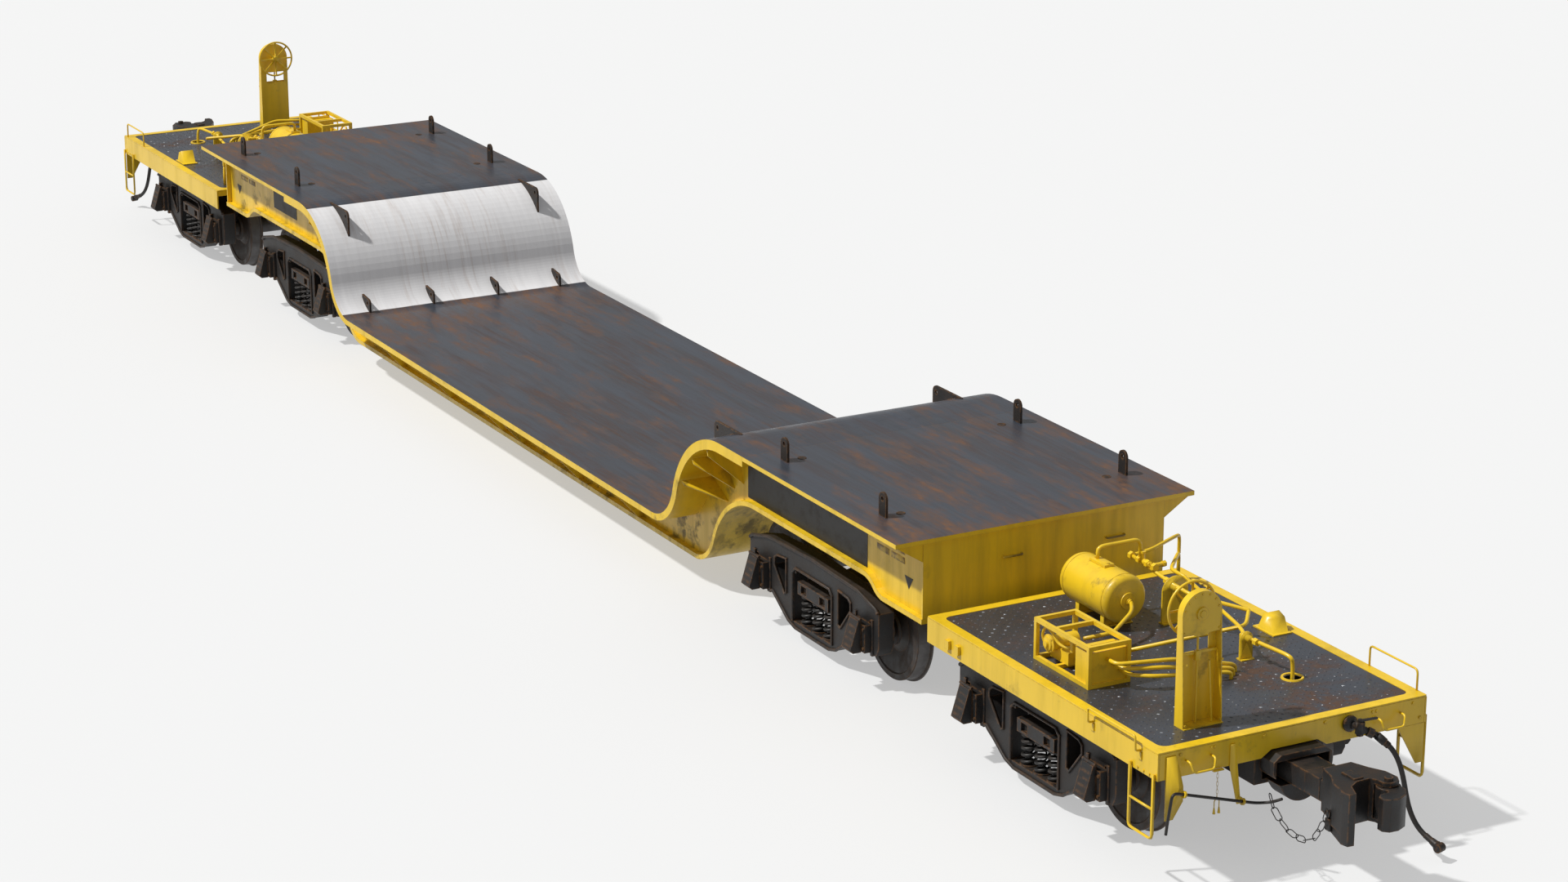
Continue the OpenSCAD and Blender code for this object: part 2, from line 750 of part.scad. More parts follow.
module end_grab(y) {
    x0 = platform_end_x + 1;
    swept(rounded([[x0, y, 1005], [x0 + 62, y, 1005], [x0 + 84, y + 22, 925], [x0 + 84, y + 205, 925],
                   [x0 + 62, y + 228, 1005], [x0, y + 228, 1005]], 26), iron_r);
}

module ladder() {
    y = half_platform + 15;
    swept(rounded([[ladder_x0, y, 930], [ladder_x0, y, ladder_z], [ladder_x1, y, ladder_z],
                   [ladder_x1, y, 930]], 45), 14, 4);
    swept([[ladder_x0 + 12, y + 2, ladder_rung_z], [ladder_x1 - 12, y + 2, ladder_rung_z]], 11);
}

module safety_irons(turn) {
    x0 = platform_end_x;
    y_out = half_platform;
    color(yellow) at_end(turn) {
        lever_brackets();
        end_grab(-1000);
        end_grab(770);
        plate_yz([[985, fascia_z0 - 1], [1240, fascia_z0 - 1], [1240, 548], [1175, 548]], x0 - 13, x0 - 1);
        both_sides() ladder();
        // Hand rail on the rim
        swept(rounded([[x0 - 715, y_out - 14, platform_z], [x0 - 715, y_out - 14, platform_z + 172],
                       [x0 - 112, y_out - 14, platform_z + 172], [x0 - 112, y_out - 14, platform_z]], 40), iron_r);
        // Hand hold on the fascia
        swept(rounded([[x0 - 880, -y_out - 1, 1055], [x0 - 880, -y_out - 48, 1055], [x0 - 880, -y_out - 52, 1178],
                       [x0 - 230, -y_out - 52, 1178], [x0 - 230, -y_out - 48, 1055], [x0 - 230, -y_out - 1, 1055]],
                      30), iron_r);
        for (x = [x0 - 880, x0 - 230])
            box(x - 22, x + 22, -y_out - 9, -y_out - 1, 980, 1040);
        // Retainer brackets on the fascia
        for (x = [8640, 8790]) box(x, x + 60, -y_out - 27, -y_out - 1, 935, 1010);
    }
}

// ---------- brake stand and wheel ----------

stand_y = -645;
stand_x0 = platform_end_x - 420;
stand_deep = 117;
stand_top_deep = 68;
stand_t = 10;
stand_base = tread_top;
shaft_r = 20;
window_z0 = 1680;
window_z1 = 1812;

module stand_outline(z0) {
    translate([stand_y - stand_w / 2, z0]) square([stand_w, brake_wheel_z - z0]);
    translate([stand_y, brake_wheel_z]) circle(r = stand_w / 2);
}

module brake_stand(turn) {
    x1 = stand_x0 + stand_t;
    x2 = stand_x0 + stand_top_deep;
    side = [[x1 - 1, stand_base], [stand_x0 + stand_deep, stand_base], [x2, brake_wheel_z], [x1 - 1, brake_wheel_z]];
    color(yellow) at_end(turn) difference() {
        union() {
            translate([stand_x0, 0, 0]) rotate([90, 0, 90]) linear_extrude(stand_t) stand_outline(stand_base);
            for (y = [stand_y - stand_w / 2, stand_y + stand_w / 2 - stand_t]) plate_xz(side, y, y + stand_t);
            translate([x2 - stand_t, 0, 0]) rotate([90, 0, 90]) linear_extrude(stand_t) stand_outline(1835);
            translate([x1 - 1, 0, 0]) rotate([90, 0, 90]) linear_extrude(x2 - x1) difference() {
                translate([stand_y, brake_wheel_z]) circle(r = stand_w / 2);
                translate([stand_y, brake_wheel_z]) circle(r = stand_w / 2 - stand_t);
                translate([stand_y - 300, brake_wheel_z - 600]) square([600, 600]);
            }
            box(x1 - 1, stand_x0 + stand_deep + 18, stand_y - stand_w / 2, stand_y + stand_w / 2,
                stand_base, stand_base + stand_t);
            rod_x(x1 - 1, x2 - stand_t + 1, stand_y, brake_wheel_z, 60);
            translate([stand_x0 + 48, stand_y - 20, stand_base + 1]) cylinder(r = 9, h = 760);
        }
        box(stand_x0 - 1, x1 + 1, stand_y - 125, stand_y + 105, window_z0, window_z1);
        rod_x(stand_x0 - 1, stand_x0 + 45, stand_y, brake_wheel_z, shaft_r + running_fit);
    }
}

brake_wheel_x = stand_x0 - 72;
brake_rim_r = 11;

module brake_wheel(turn) {
    color(yellow) at_end(turn) translate([brake_wheel_x, stand_y, brake_wheel_z]) {
        rotate([0, 90, 0]) rotate_extrude($fn = 96) translate([brake_wheel_r - brake_rim_r, 0]) circle(r = brake_rim_r);
        rod_x(-22, 30, 0, 0, 38);
        rod_x(29, 112, 0, 0, shaft_r);
        for (i = [0 : 7]) rotate([45 * i, 0, 0]) box(-5, 5, -9, 9, 20, brake_wheel_r - brake_rim_r);
    }
}

// ---------- air brake ----------

tank_x0 = 8625;
tank_z = tread_top + tank_r + 52;
tank_top = tank_z + tank_r + 22;

module air_reservoir(turn) {
    dish = 85;
    x1 = tank_x0 + tank_len;
    color(yellow) at_end(turn) {
        translate([tank_x0, 0, tank_z]) rotate([0, 90, 0]) rotate_extrude($fn = 64)
            polygon(concat([[0, 0]],
                [for (i = [0 : 8]) let (a = 90 * i / 8) [tank_r - 60 + 60 * sin(a), dish * (1 - cos(a))]],
                [for (i = [0 : 8]) let (a = 90 * i / 8)
                    [tank_r - 60 + 60 * cos(a), tank_len - dish + dish * sin(a)]],
                [[0, tank_len]]));
        rod_x(x1 - 1, x1 + 12, 0, tank_z, 70);
        rod_x(x1 + 11, x1 + 32, 0, tank_z, 24);
        for (x = [tank_x0 + 190, tank_x0 + 560]) difference() {
            box(x, x + 60, -150, 150, tread_top, tank_z - 60);
            rod_x(x - 1, x + 61, 0, tank_z, tank_r - 2);
        }
        box(tank_x0 + 250, tank_x0 + 480, -48, 48, tank_z + tank_r - 12, tank_top);
    }
}

crate_x0 = 9545;
crate_x1 = 10340;
crate_y0 = -1000;
crate_y1 = -605;
crate_z1 = 1452;
crate_bar = 34;

module valve_crate(turn) {
    b = crate_bar;
    z0 = tread_top;
    color(yellow) at_end(turn) {
        for (y = [crate_y0, crate_y1 - b]) {
            for (z = [z0, crate_z1 - b]) box(crate_x0, crate_x1, y, y + b, z, z + b);
            for (x = [crate_x0, crate_x1 - b]) box(x, x + b, y, y + b, z0, crate_z1);
        }
        for (x = [crate_x0, crate_x1 - b, crate_x0 + 270]) for (z = [z0, crate_z1 - b])
            box(x, x + b, crate_y0, crate_y1, z, z + b);
        box(10118, 10322, -978, -628, z0 + b - 1, 1392);
        rod_y(9700, -940, -700, 1270, 62);
        box(9640, 9900, -900, -720, z0 + b, 1240);
        rod_x(9899, 10119, -810, 1200, 30);
    }
}

crate_pipes_z = [1215, 1275, 1325];
pipe_r = pipe_d / 2;
bracket_t = 16;
bracket_a_x = 9385;
bracket_b_x = 10360;
main_pipe_y = 470;
main_pipe_z = 1285;
high_pipe_z = 1425;
cock_x = platform_end_x + 100;
cock_y = 538;
cock_z = 1004;
handle_pin_r = 12;

module pipe(route, bend = 60) {
    swept(rounded(route, bend), pipe_r);
}

module pipe_bracket(x, y0, y1, top) {
    z0 = tread_top;
    mid = (y0 + y1) / 2;
    half = (y1 - y0) / 2;
    box(x, x + bracket_t, y0, y1, z0, top - half);
    rod_x(x, x + bracket_t, mid, top - half, half);
    box(x - 30, x + bracket_t + 30, y0, y1, z0, z0 + 10);
}

module brake_pipes(turn) {
    z0 = tread_top;
    color(yellow) at_end(turn) {
        // Branch from the reservoir's top, over the back and along to the first bracket
        pipe([[tank_x0 + 300, 0, tank_top + 1], [tank_x0 + 300, 0, tank_top + 95],
              [tank_x0 + 300, 420, tank_top + 95], [tank_x0 + 300, 420, 1500]], 70);
        rod_x(8960, 9080, 420, 1500, 26);
        pipe([[8800, 420, 1500], [9300, 420, high_pipe_z + 20], [bracket_a_x + 260, 420, high_pipe_z],
              [10010, 745, 1350], [10010, 745, 1345], [10180, 600, 1300], [10180, -560, 1290]], 70);
        pipe_bracket(bracket_a_x, 325, 575, 1500);
        rod_x(bracket_a_x - 50, bracket_a_x + 90, 420, high_pipe_z - 8, 32);
        // Train pipe to the hole in the deck
        pipe([[9100, 745, 1352], [bracket_b_x - 160, main_pipe_y + 60, main_pipe_z + 20],
              [bracket_b_x, main_pipe_y, main_pipe_z], [hole_x, main_pipe_y + 60, main_pipe_z],
              [hole_x, hole_y_mid, main_pipe_z - 60], [hole_x, hole_y_mid, 985]], 110);
        pipe_bracket(bracket_b_x, main_pipe_y - 62, main_pipe_y + 62, main_pipe_z + 50);
        rod_x(bracket_b_x - 40, bracket_b_x + 66, main_pipe_y, main_pipe_z, 30);
        pipe([[9100, 745, 1352], [8900, 745, 1352], [8560, 1060, 1352], [8560, 1060, z0]], 80);
        // Three small pipes from the valve crate
        for (i = [0 : 2])
            pipe([[crate_x1 - 6, -700 - 60 * i, crate_pipes_z[i]], [crate_x1 + 120, -700 - 60 * i, crate_pipes_z[i]],
                  [crate_x1 + 260, -560 + 90 * i, crate_pipes_z[i] + 10],
                  [crate_x1 + 330 - 60 * i, 120 + 60 * i, z0 + 60], [crate_x1 + 330 - 60 * i, 120 + 60 * i, z0]], 70);
        // Reservoir outlet to the crate
        pipe([[tank_x0 + tank_len + 46, 0, tank_z], [tank_x0 + tank_len + 150, -60, tank_z - 30],
              [9700, -350, 1250], [9700, crate_y1 - 20, 1250]], 60);
        // Sloping retaining valve box
        box(9786, 10072, 955, 1141, z0, z0 + 10);
        plate_xz([[9830, z0 + 9], [10040, z0 + 9], [9985, z0 + 120], [9905, z0 + 150]], 972, 1124);
    }
    angle_cock(turn);
}

// The train pipe's end at the fascia, with its cock and flange
module angle_cock(turn) {
    color(cast_black) at_end(turn) difference() {
        union() {
            rod_x(platform_end_x + 1, platform_end_x + 16, 507, 1014, 62);
            rod_x(platform_end_x + 15, cock_x, 525, 1009, 27);
            translate([cock_x, cock_y, cock_z - 46]) cylinder(r = 38, h = 92);
            swept([[cock_x + 6, cock_y, cock_z], [cock_x + 62, cock_y + 120, cock_z - 66]], 27, 10);
            swept([[cock_x + 62, cock_y + 120, cock_z - 66], [cock_x + 92, cock_y + 172, cock_z - 120]], 33, 10);
        }
        translate([cock_x, cock_y, cock_z + 20]) cylinder(r = handle_pin_r + running_fit, h = 60);
    }
}

module cock_handle(turn) {
    color(cast_black) at_end(turn) {
        translate([cock_x, cock_y, cock_z + 21]) cylinder(r = handle_pin_r, h = 50);
        translate([cock_x, cock_y, cock_z + 47]) cylinder(r = 20, h = 22);
        plate_xy([[cock_x - 14, cock_y - 12], [cock_x + 14, cock_y - 12], [cock_x + 26, cock_y + 150],
                  [cock_x + 2, cock_y + 150]], cock_z + 52, cock_z + 64);
    }
}

// Route of the air hose, from the cock down to its coupling
hose_exit = [cock_x + 94, cock_y + 175, cock_z - 123];
hose_route = [hose_exit, [11895, 745, 847], [11913, 774, 803], [11929, 797, 752], [11943, 814, 698],
              [11955, 827, 642], [11966, 837, 585], [11976, 845, 528], [11987, 852, 471], [12000, 859, 415],
              [12017, 867, 360], [12040, 876, 308], [12070, 887, 260], [12108, 900, 218], [12153, 915, 184],
              [12204, 930, 160]];

module air_hose(turn) {
    color([0.08, 0.08, 0.08]) at_end(turn) swept(hose_route, hose_d / 2, 10);
}

module hose_coupling(turn) {
    tip = hose_route[len(hose_route) - 1];
    along = unit(tip - hose_route[len(hose_route) - 2]);
    color([0.2, 0.14, 0.1]) at_end(turn) {
        swept([tip, tip + along * 60], hose_d / 2 + 6, 10);
        swept([tip + along * 59, tip + along * 150], hose_d / 2 + 16, 8);
    }
}

// ---------- coupler ----------

head_x = 12215;
head_low = 622;
head_high = 962;
knuckle_x = 12630;
knuckle_y = 165;
knuckle_low = coupler_z - 118;
knuckle_high = coupler_z + 142;
jaw_r = 96;

module coupler(turn) {
    shank_low = coupler_z - shank_h / 2;
    color(cast_black) at_end(turn) {
        difference() {
            union() {
                box(coupler_pivot_x, head_x + 10, -shank_w / 2, shank_w / 2, shank_low, shank_low + shank_h);
                translate([coupler_pivot_x, 0, shank_low]) cylinder(r = shank_w / 2, h = shank_h);
                plate_xy([[head_x, -shank_w / 2], [12360, -165], [12480, -235], [12660, -275], [12725, -262],
                          [12730, -205], [12600, -150], [12545, -60], [12540, 60], [12590, 90], [12650, 95],
                          [12690, 140], [12680, 225], [12610, 262], [12480, 250], [12360, 185],
                          [head_x, shank_w / 2]], head_low, head_high);
                plate_xy([[12400, -190], [12660, -275], [12725, -262], [12730, -205], [12600, -150], [12500, -100]],
                         head_low - 75, head_low + 1);
            }
            translate([knuckle_x, knuckle_y, knuckle_low - 4]) cylinder(r = jaw_r + 8, h = knuckle_high - knuckle_low + 8);
            box(12580, 12760, 90, 300, knuckle_low - 4, knuckle_high + 4);
        }
        translate([knuckle_x, knuckle_y, head_low + 5]) cylinder(r = knuckle_pin_r, h = head_high - head_low + 12);
    }
}

module knuckle(turn) {
    color(cast_black) at_end(turn) difference() {
        union() {
            translate([knuckle_x, knuckle_y, knuckle_low]) cylinder(r = jaw_r, h = knuckle_high - knuckle_low);
            plate_xy([[12640, 240], [12740, 240], [12830, 180], [12872, 90], [12868, 10], [12828, -32],
                      [12770, -30], [12735, 10], [12738, 70], [12700, 110], [12640, 130]],
                     knuckle_low, knuckle_high);
        }
        translate([knuckle_x, knuckle_y, knuckle_low - 1])
            cylinder(r = knuckle_pin_r + running_fit, h = knuckle_high - knuckle_low + 2);
    }
}

module cut_lever(turn) {
    a = lever_line[0];
    b = lever_line[1];
    color([0.07, 0.07, 0.07]) at_end(turn)
        swept(rounded([[a[0] + 8, a[1] - 160, 470], [a[0] + 8, a[1] - 150, 560], a - lever_dir * 110, a, b,
                       b + lever_dir * 130, b + lever_dir * 150 + [90, 60, 30], b + lever_dir * 150 + [190, 80, 90]],
                      50), lever_r);
}

// ---------- placing ----------

well_floor();
slope_plates();
raised_decks();
side_webs();
bottom_plates();
end_plates();
stiffeners();
inner_girders();
centre_plates();
tie_down_lugs();
span_bolster(a_end);  // a_span_bolster
platform_frame(a_end);  // a_platform_frame
tread_plate(a_end);  // a_tread_plate
safety_irons(a_end);  // a_safety_irons
brake_stand(a_end);  // a_brake_stand
brake_wheel(a_end);  // a_brake_wheel
air_reservoir(a_end);  // a_air_reservoir
valve_crate(a_end);  // a_valve_crate
brake_pipes(a_end);  // a_brake_pipes
cock_handle(a_end);  // a_cock_handle
air_hose(a_end);  // a_air_hose
hose_coupling(a_end);  // a_hose_coupling
coupler(a_end);  // a_coupler
knuckle(a_end);  // a_knuckle
cut_lever(a_end);  // a_cut_lever
span_bolster(b_end);  // b_span_bolster
platform_frame(b_end);  // b_platform_frame
tread_plate(b_end);  // b_tread_plate
safety_irons(b_end);  // b_safety_irons
brake_stand(b_end);  // b_brake_stand
brake_wheel(b_end);  // b_brake_wheel
air_reservoir(b_end);  // b_air_reservoir
valve_crate(b_end);  // b_valve_crate
brake_pipes(b_end);  // b_brake_pipes
cock_handle(b_end);  // b_cock_handle
air_hose(b_end);  // b_air_hose
hose_coupling(b_end);  // b_hose_coupling
coupler(b_end);  // b_coupler
knuckle(b_end);  // b_knuckle
cut_lever(b_end);  // b_cut_lever
truck_bolster(a_end, outer_truck_x);  // a_outer_bolster
side_frames(a_end, outer_truck_x);  // a_outer_side_frames
springs(a_end, outer_truck_x);  // a_outer_springs
wheelset_at(a_end, outer_truck_x, -1);  // a_outer_wheelset_1
wheelset_at(a_end, outer_truck_x, 1);  // a_outer_wheelset_2
truck_bolster(a_end, inner_truck_x);  // a_inner_bolster
side_frames(a_end, inner_truck_x);  // a_inner_side_frames
springs(a_end, inner_truck_x);  // a_inner_springs
wheelset_at(a_end, inner_truck_x, -1);  // a_inner_wheelset_1
wheelset_at(a_end, inner_truck_x, 1);  // a_inner_wheelset_2
truck_bolster(b_end, inner_truck_x);  // b_inner_bolster
side_frames(b_end, inner_truck_x);  // b_inner_side_frames
springs(b_end, inner_truck_x);  // b_inner_springs
wheelset_at(b_end, inner_truck_x, -1);  // b_inner_wheelset_1
wheelset_at(b_end, inner_truck_x, 1);  // b_inner_wheelset_2
truck_bolster(b_end, outer_truck_x);  // b_outer_bolster
side_frames(b_end, outer_truck_x);  // b_outer_side_frames
springs(b_end, outer_truck_x);  // b_outer_springs
wheelset_at(b_end, outer_truck_x, -1);  // b_outer_wheelset_1
wheelset_at(b_end, outer_truck_x, 1);  // b_outer_wheelset_2
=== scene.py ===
"""Finishes the depressed-centre flat car: paint, wear, springs, hoses, chains and brake gear."""

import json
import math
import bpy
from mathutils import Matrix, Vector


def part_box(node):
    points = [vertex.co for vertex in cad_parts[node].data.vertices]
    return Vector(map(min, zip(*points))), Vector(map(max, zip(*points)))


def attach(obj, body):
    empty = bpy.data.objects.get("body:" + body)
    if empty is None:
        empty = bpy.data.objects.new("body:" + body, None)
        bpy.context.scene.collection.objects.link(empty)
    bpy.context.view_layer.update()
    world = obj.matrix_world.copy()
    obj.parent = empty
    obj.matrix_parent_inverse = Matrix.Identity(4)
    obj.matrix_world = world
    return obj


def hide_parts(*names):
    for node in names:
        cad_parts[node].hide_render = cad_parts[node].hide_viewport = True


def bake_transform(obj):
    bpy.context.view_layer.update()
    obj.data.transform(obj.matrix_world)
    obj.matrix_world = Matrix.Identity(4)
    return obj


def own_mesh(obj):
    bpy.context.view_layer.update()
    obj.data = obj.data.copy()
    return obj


bl_info = {
    "name": "Depressed-centre flat car",
    "version": (1, 0, 0),
    "blender": (4, 5, 0),
    "location": "View3D > Sidebar > Flat Car",
    "description": "Paints and details an eight-axle depressed-centre flat car around its packed frame",
    "category": "Object",
}

import bmesh
import bpy
from mathutils import Euler, Matrix, Vector

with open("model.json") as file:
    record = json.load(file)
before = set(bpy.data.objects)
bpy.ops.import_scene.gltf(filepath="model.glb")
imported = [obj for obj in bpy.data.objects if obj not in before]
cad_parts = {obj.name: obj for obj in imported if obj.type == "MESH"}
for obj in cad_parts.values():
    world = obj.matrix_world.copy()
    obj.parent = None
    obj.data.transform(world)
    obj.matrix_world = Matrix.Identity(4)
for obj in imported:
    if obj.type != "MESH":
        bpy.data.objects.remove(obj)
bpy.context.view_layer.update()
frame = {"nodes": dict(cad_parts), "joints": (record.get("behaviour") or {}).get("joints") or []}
ENDS = ("a", "b")
TRUCKS = tuple(f"{end}_{place}" for end in ENDS for place in ("inner", "outer"))
NODES = frame["nodes"]
JOINTS = {joint["name"]: joint for joint in frame["joints"]}


def scaled(colour, factor):
    """A colour made darker or lighter."""
    return [factor * value for value in colour]


# ---------- settings ----------


def colour_setting(name, description, default):
    return bpy.props.FloatVectorProperty(
        name=name, description=description, default=default, subtype="COLOR", size=3, min=0.0, max=1.0)


def share_setting(name, description, default, highest=1.0):
    return bpy.props.FloatProperty(
        name=name, description=description, default=default, min=0.0, max=highest, subtype="FACTOR")


def length_setting(name, description, default):
    return bpy.props.FloatProperty(
        name=name, description=description, default=default, min=0.0005, max=5.0, unit="LENGTH", precision=4)


class FlatcarPaint(bpy.types.PropertyGroup):
    """Colours and wear of the car's finishes."""

    yellow: colour_setting("Yellow", "Fresh yellow body paint", (0.90, 0.60, 0.016))
    yellow_faded: colour_setting("Faded yellow", "Body paint dulled by the weather", (0.74, 0.49, 0.016))
    grime: colour_setting("Grime", "Oily dirt on the paint", (0.045, 0.034, 0.012))
    deck: colour_setting("Deck steel", "Blue-grey plate of the load deck", (0.035, 0.043, 0.060))
    deck_worn: colour_setting("Worn deck", "Darker bands where loads have slid", (0.030, 0.031, 0.036))
    brown_rust: colour_setting("Brown rust", "Old rust in streaks", (0.075, 0.036, 0.020))
    orange_rust: colour_setting("Orange rust", "Fresh rust in patches", (0.20, 0.080, 0.018))
    white: colour_setting("White", "Pale paint on the slopes", (0.80, 0.80, 0.82))
    tread: colour_setting("Tread plate", "Dark plate of the end platforms", (0.026, 0.031, 0.042))
    casting: colour_setting("Casting", "Black of the trucks and couplers", (0.0085, 0.0085, 0.0092))
    casting_dust: colour_setting("Brake dust", "Rusty dust on the castings", (0.036, 0.020, 0.010))
    edge_rust: colour_setting("Edge rust", "Rust on the castings' edges", (0.17, 0.075, 0.020))
    black: colour_setting("Black", "Black paint, rubber and springs", (0.006, 0.006, 0.006))
    body_dirt: share_setting("Body dirt", "How much grime lies on the car body", 0.5)
    platform_dirt: share_setting("Platform dirt", "How much grime lies on the end platforms", 0.22)


class FlatcarSizes(bpy.types.PropertyGroup):
    """Sizes of the details that are added to the frame."""

    lug_pitch: length_setting("Tread pitch", "Distance between the raised lugs of the tread plate", 0.064)
    lug_length: length_setting("Tread lug length", "Length of a raised lug", 0.030)
    lug_width: length_setting("Tread lug width", "Width of a raised lug", 0.009)
    lug_height: length_setting("Tread lug height", "Height of a raised lug", 0.0032)
    bolt: length_setting("Bolt head", "Distance across a bolt head's corners", 0.030)
    spring_wire: length_setting("Spring wire", "Diameter of the outer coils' wire", 0.028)
    chain_wire: length_setting("Chain wire", "Diameter of a chain link's wire", 0.008)
    casting_edge: length_setting("Casting edge", "Rounding of the castings' edges", 0.012)
    plate_edge: length_setting("Plate edge", "Rounding of the plates' edges", 0.0035)


class FlatcarLight(bpy.types.PropertyGroup):
    """Studio light."""

    sky: share_setting("Sky", "Strength of the white surroundings", 0.34, 4.0)
    key: share_setting("Key light", "Strength of the main light", 3.5, 20.0)
    floor: colour_setting("Floor", "Colour of the plain floor", (0.375, 0.382, 0.392))
    floor_glow: share_setting("Floor glow", "The floor's own light, which keeps shadows pale", 0.45, 2.0)


def paint():
    return bpy.context.scene.flatcar_paint


def sizes():
    return bpy.context.scene.flatcar_sizes


def light():
    return bpy.context.scene.flatcar_light


# ---------- material nodes ----------


def fill(tree, made, inputs):
    """Gives a node its inputs. Each is a value, or a socket that is linked to it."""
    for name, value in inputs.items():
        if isinstance(value, bpy.types.NodeSocket):
            tree.links.new(value, made.inputs[name])
        else:
            made.inputs[name].default_value = value


def add_node(tree, kind, inputs=None, **settings):
    """Adds a shader node with its settings and inputs."""
    made = tree.nodes.new("ShaderNode" + kind)
    for name, value in settings.items():
        setattr(made, name, value)
    fill(tree, made, inputs or {})
    return made


def mix_colour(tree, share, low, high):
    """Mixes two colours. Each is a socket or three numbers."""
    ends = [end if isinstance(end, bpy.types.NodeSocket) else (*end, 1.0) for end in (low, high)]
    return add_node(tree, "Mix", {0: share, 6: ends[0], 7: ends[1]}, data_type="RGBA").outputs[2]


def mix_value(tree, share, low, high):
    return add_node(tree, "Mix", {0: share, 2: low, 3: high}, data_type="FLOAT").outputs[0]


def calculate(tree, operation, first, second=0.0):
    return add_node(tree, "Math", {0: first, 1: second}, operation=operation).outputs[0]


def times(tree, first, second):
    return calculate(tree, "MULTIPLY", first, second)


def part_of(tree, vector, axis):
    """One part of a vector: 0, 1 and 2 are X, Y and Z."""
    return add_node(tree, "SeparateXYZ", {0: vector}).outputs[axis]


def normal_part(tree, axis):
    return part_of(tree, add_node(tree, "NewGeometry").outputs["Normal"], axis)


def noise(tree, place, scale, detail, **more):
    """Cloudy noise from nought to one."""
    inputs = {"Vector": place, "Scale": scale, "Detail": detail, **more}
    return add_node(tree, "TexNoise", inputs).outputs["Fac"]


def spread(tree, value, low, high, to_low=0.0, to_high=1.0):
    """Maps low..high of a value to to_low..to_high, and holds it there."""
    return add_node(tree, "MapRange", {"Value": value, "From Min": low, "From Max": high,
                                       "To Min": to_low, "To Max": to_high}).outputs[0]


def new_group(name, inputs, outputs):
    """An empty shader group with float and vector sockets, and its two end nodes."""
    tree = bpy.data.node_groups.new(name, "ShaderNodeTree")
    for label, kind, default in inputs:
        socket = tree.interface.new_socket(name=label, in_out="INPUT", socket_type=kind)
        if default is not None:
            socket.default_value = default
    for label, kind in outputs:
        tree.interface.new_socket(name=label, in_out="OUTPUT", socket_type=kind)
    return tree, tree.nodes.new("NodeGroupInput"), tree.nodes.new("NodeGroupOutput")


def patches_group():
    """Cloudy patches whose cover and edge can be set."""
    tree, given, result = new_group(
        "Patches",
        [("Vector", "NodeSocketVector", None), ("Stretch", "NodeSocketVector", (1, 1, 1)),
         ("Size", "NodeSocketFloat", 1.0), ("Cover", "NodeSocketFloat", 0.4),
         ("Edge", "NodeSocketFloat", 0.06)],
        [("Mask", "NodeSocketFloat")])
    placed = add_node(tree, "VectorMath", {0: given.outputs["Vector"], 1: given.outputs["Stretch"]},
                      operation="MULTIPLY").outputs[0]
    cloud = noise(tree, placed, given.outputs["Size"], 8.0, Roughness=0.62)
    middle = spread(tree, given.outputs["Cover"], 0.0, 1.0, 0.74, 0.30)
    low = calculate(tree, "SUBTRACT", middle, given.outputs["Edge"])
    high = calculate(tree, "ADD", middle, given.outputs["Edge"])
    tree.links.new(spread(tree, cloud, low, high), result.inputs["Mask"])
    return tree


def edges_group():
    """A mask of the outer edges, broken up so that it reads as chipped paint."""
    tree, given, result = new_group(
        "Worn edges",
        [("Vector", "NodeSocketVector", None), ("Width", "NodeSocketFloat", 0.012),
         ("Amount", "NodeSocketFloat", 0.5)],
        [("Mask", "NodeSocketFloat")])
    rounded = add_node(tree, "Bevel", {"Radius": given.outputs["Width"]}, samples=4).outputs[0]
    flat = add_node(tree, "NewGeometry").outputs["Normal"]
    match = add_node(tree, "VectorMath", {0: rounded, 1: flat}, operation="DOT_PRODUCT").outputs["Value"]
    edge = spread(tree, match, 0.98, 0.80)
    chips = spread(tree, noise(tree, given.outputs["Vector"], 24.0, 6.0), 0.62, 0.44)
    worn = times(tree, times(tree, edge, chips), given.outputs["Amount"])
    tree.links.new(worn, result.inputs["Mask"])
    return tree


def grain_group():
    """A fine height for a bump: rolled or cast skin with a coarser waviness under it."""
    tree, given, result = new_group(
        "Metal skin",
        [("Vector", "NodeSocketVector", None), ("Fine", "NodeSocketFloat", 180.0),
         ("Coarse", "NodeSocketFloat", 9.0), ("Balance", "NodeSocketFloat", 0.5)],
        [("Height", "NodeSocketFloat")])
    fine = noise(tree, given.outputs["Vector"], given.outputs["Fine"], 3.0)
    coarse = noise(tree, given.outputs["Vector"], given.outputs["Coarse"], 4.0)
    height = mix_value(tree, given.outputs["Balance"], fine, coarse)
    tree.links.new(height, result.inputs["Height"])
    return tree


GROUPS = {}


def group(name):
    """The shared group of that name, made the first time it is asked for."""
    makers = {"patches": patches_group, "edges": edges_group, "skin": grain_group}
    if name not in GROUPS:
        GROUPS[name] = makers[name]()
    return GROUPS[name]


def placed_group(tree, name, **inputs):
    made = tree.nodes.new("ShaderNodeGroup")
    made.node_tree = group(name)
    fill(tree, made, inputs)
    return made.outputs[0]


def patches(tree, place, size, cover, edge=0.06, stretch=(1, 1, 1)):
    return placed_group(tree, "patches", Vector=place, Size=size, Cover=cover, Edge=edge, Stretch=stretch)


def new_material(name, **fixed):
    """A material with one Principled shader. Returns it, its tree, the shader and the object coordinates."""
    material = bpy.data.materials.new(name)
    material.use_nodes = True
    tree = material.node_tree
    tree.nodes.clear()
    inputs = {label.replace("_", " "): value for label, value in fixed.items()}
    shader = add_node(tree, "BsdfPrincipled", inputs)
    end = add_node(tree, "OutputMaterial", {"Surface": shader.outputs[0]})
    end.is_active_output = True
    place = add_node(tree, "TexCoord").outputs["Object"]
    return material, tree, shader, place


def feed(tree, shader, **sockets):
    for label, socket in sockets.items():
        tree.links.new(socket, shader.inputs[label.replace("_", " ")])


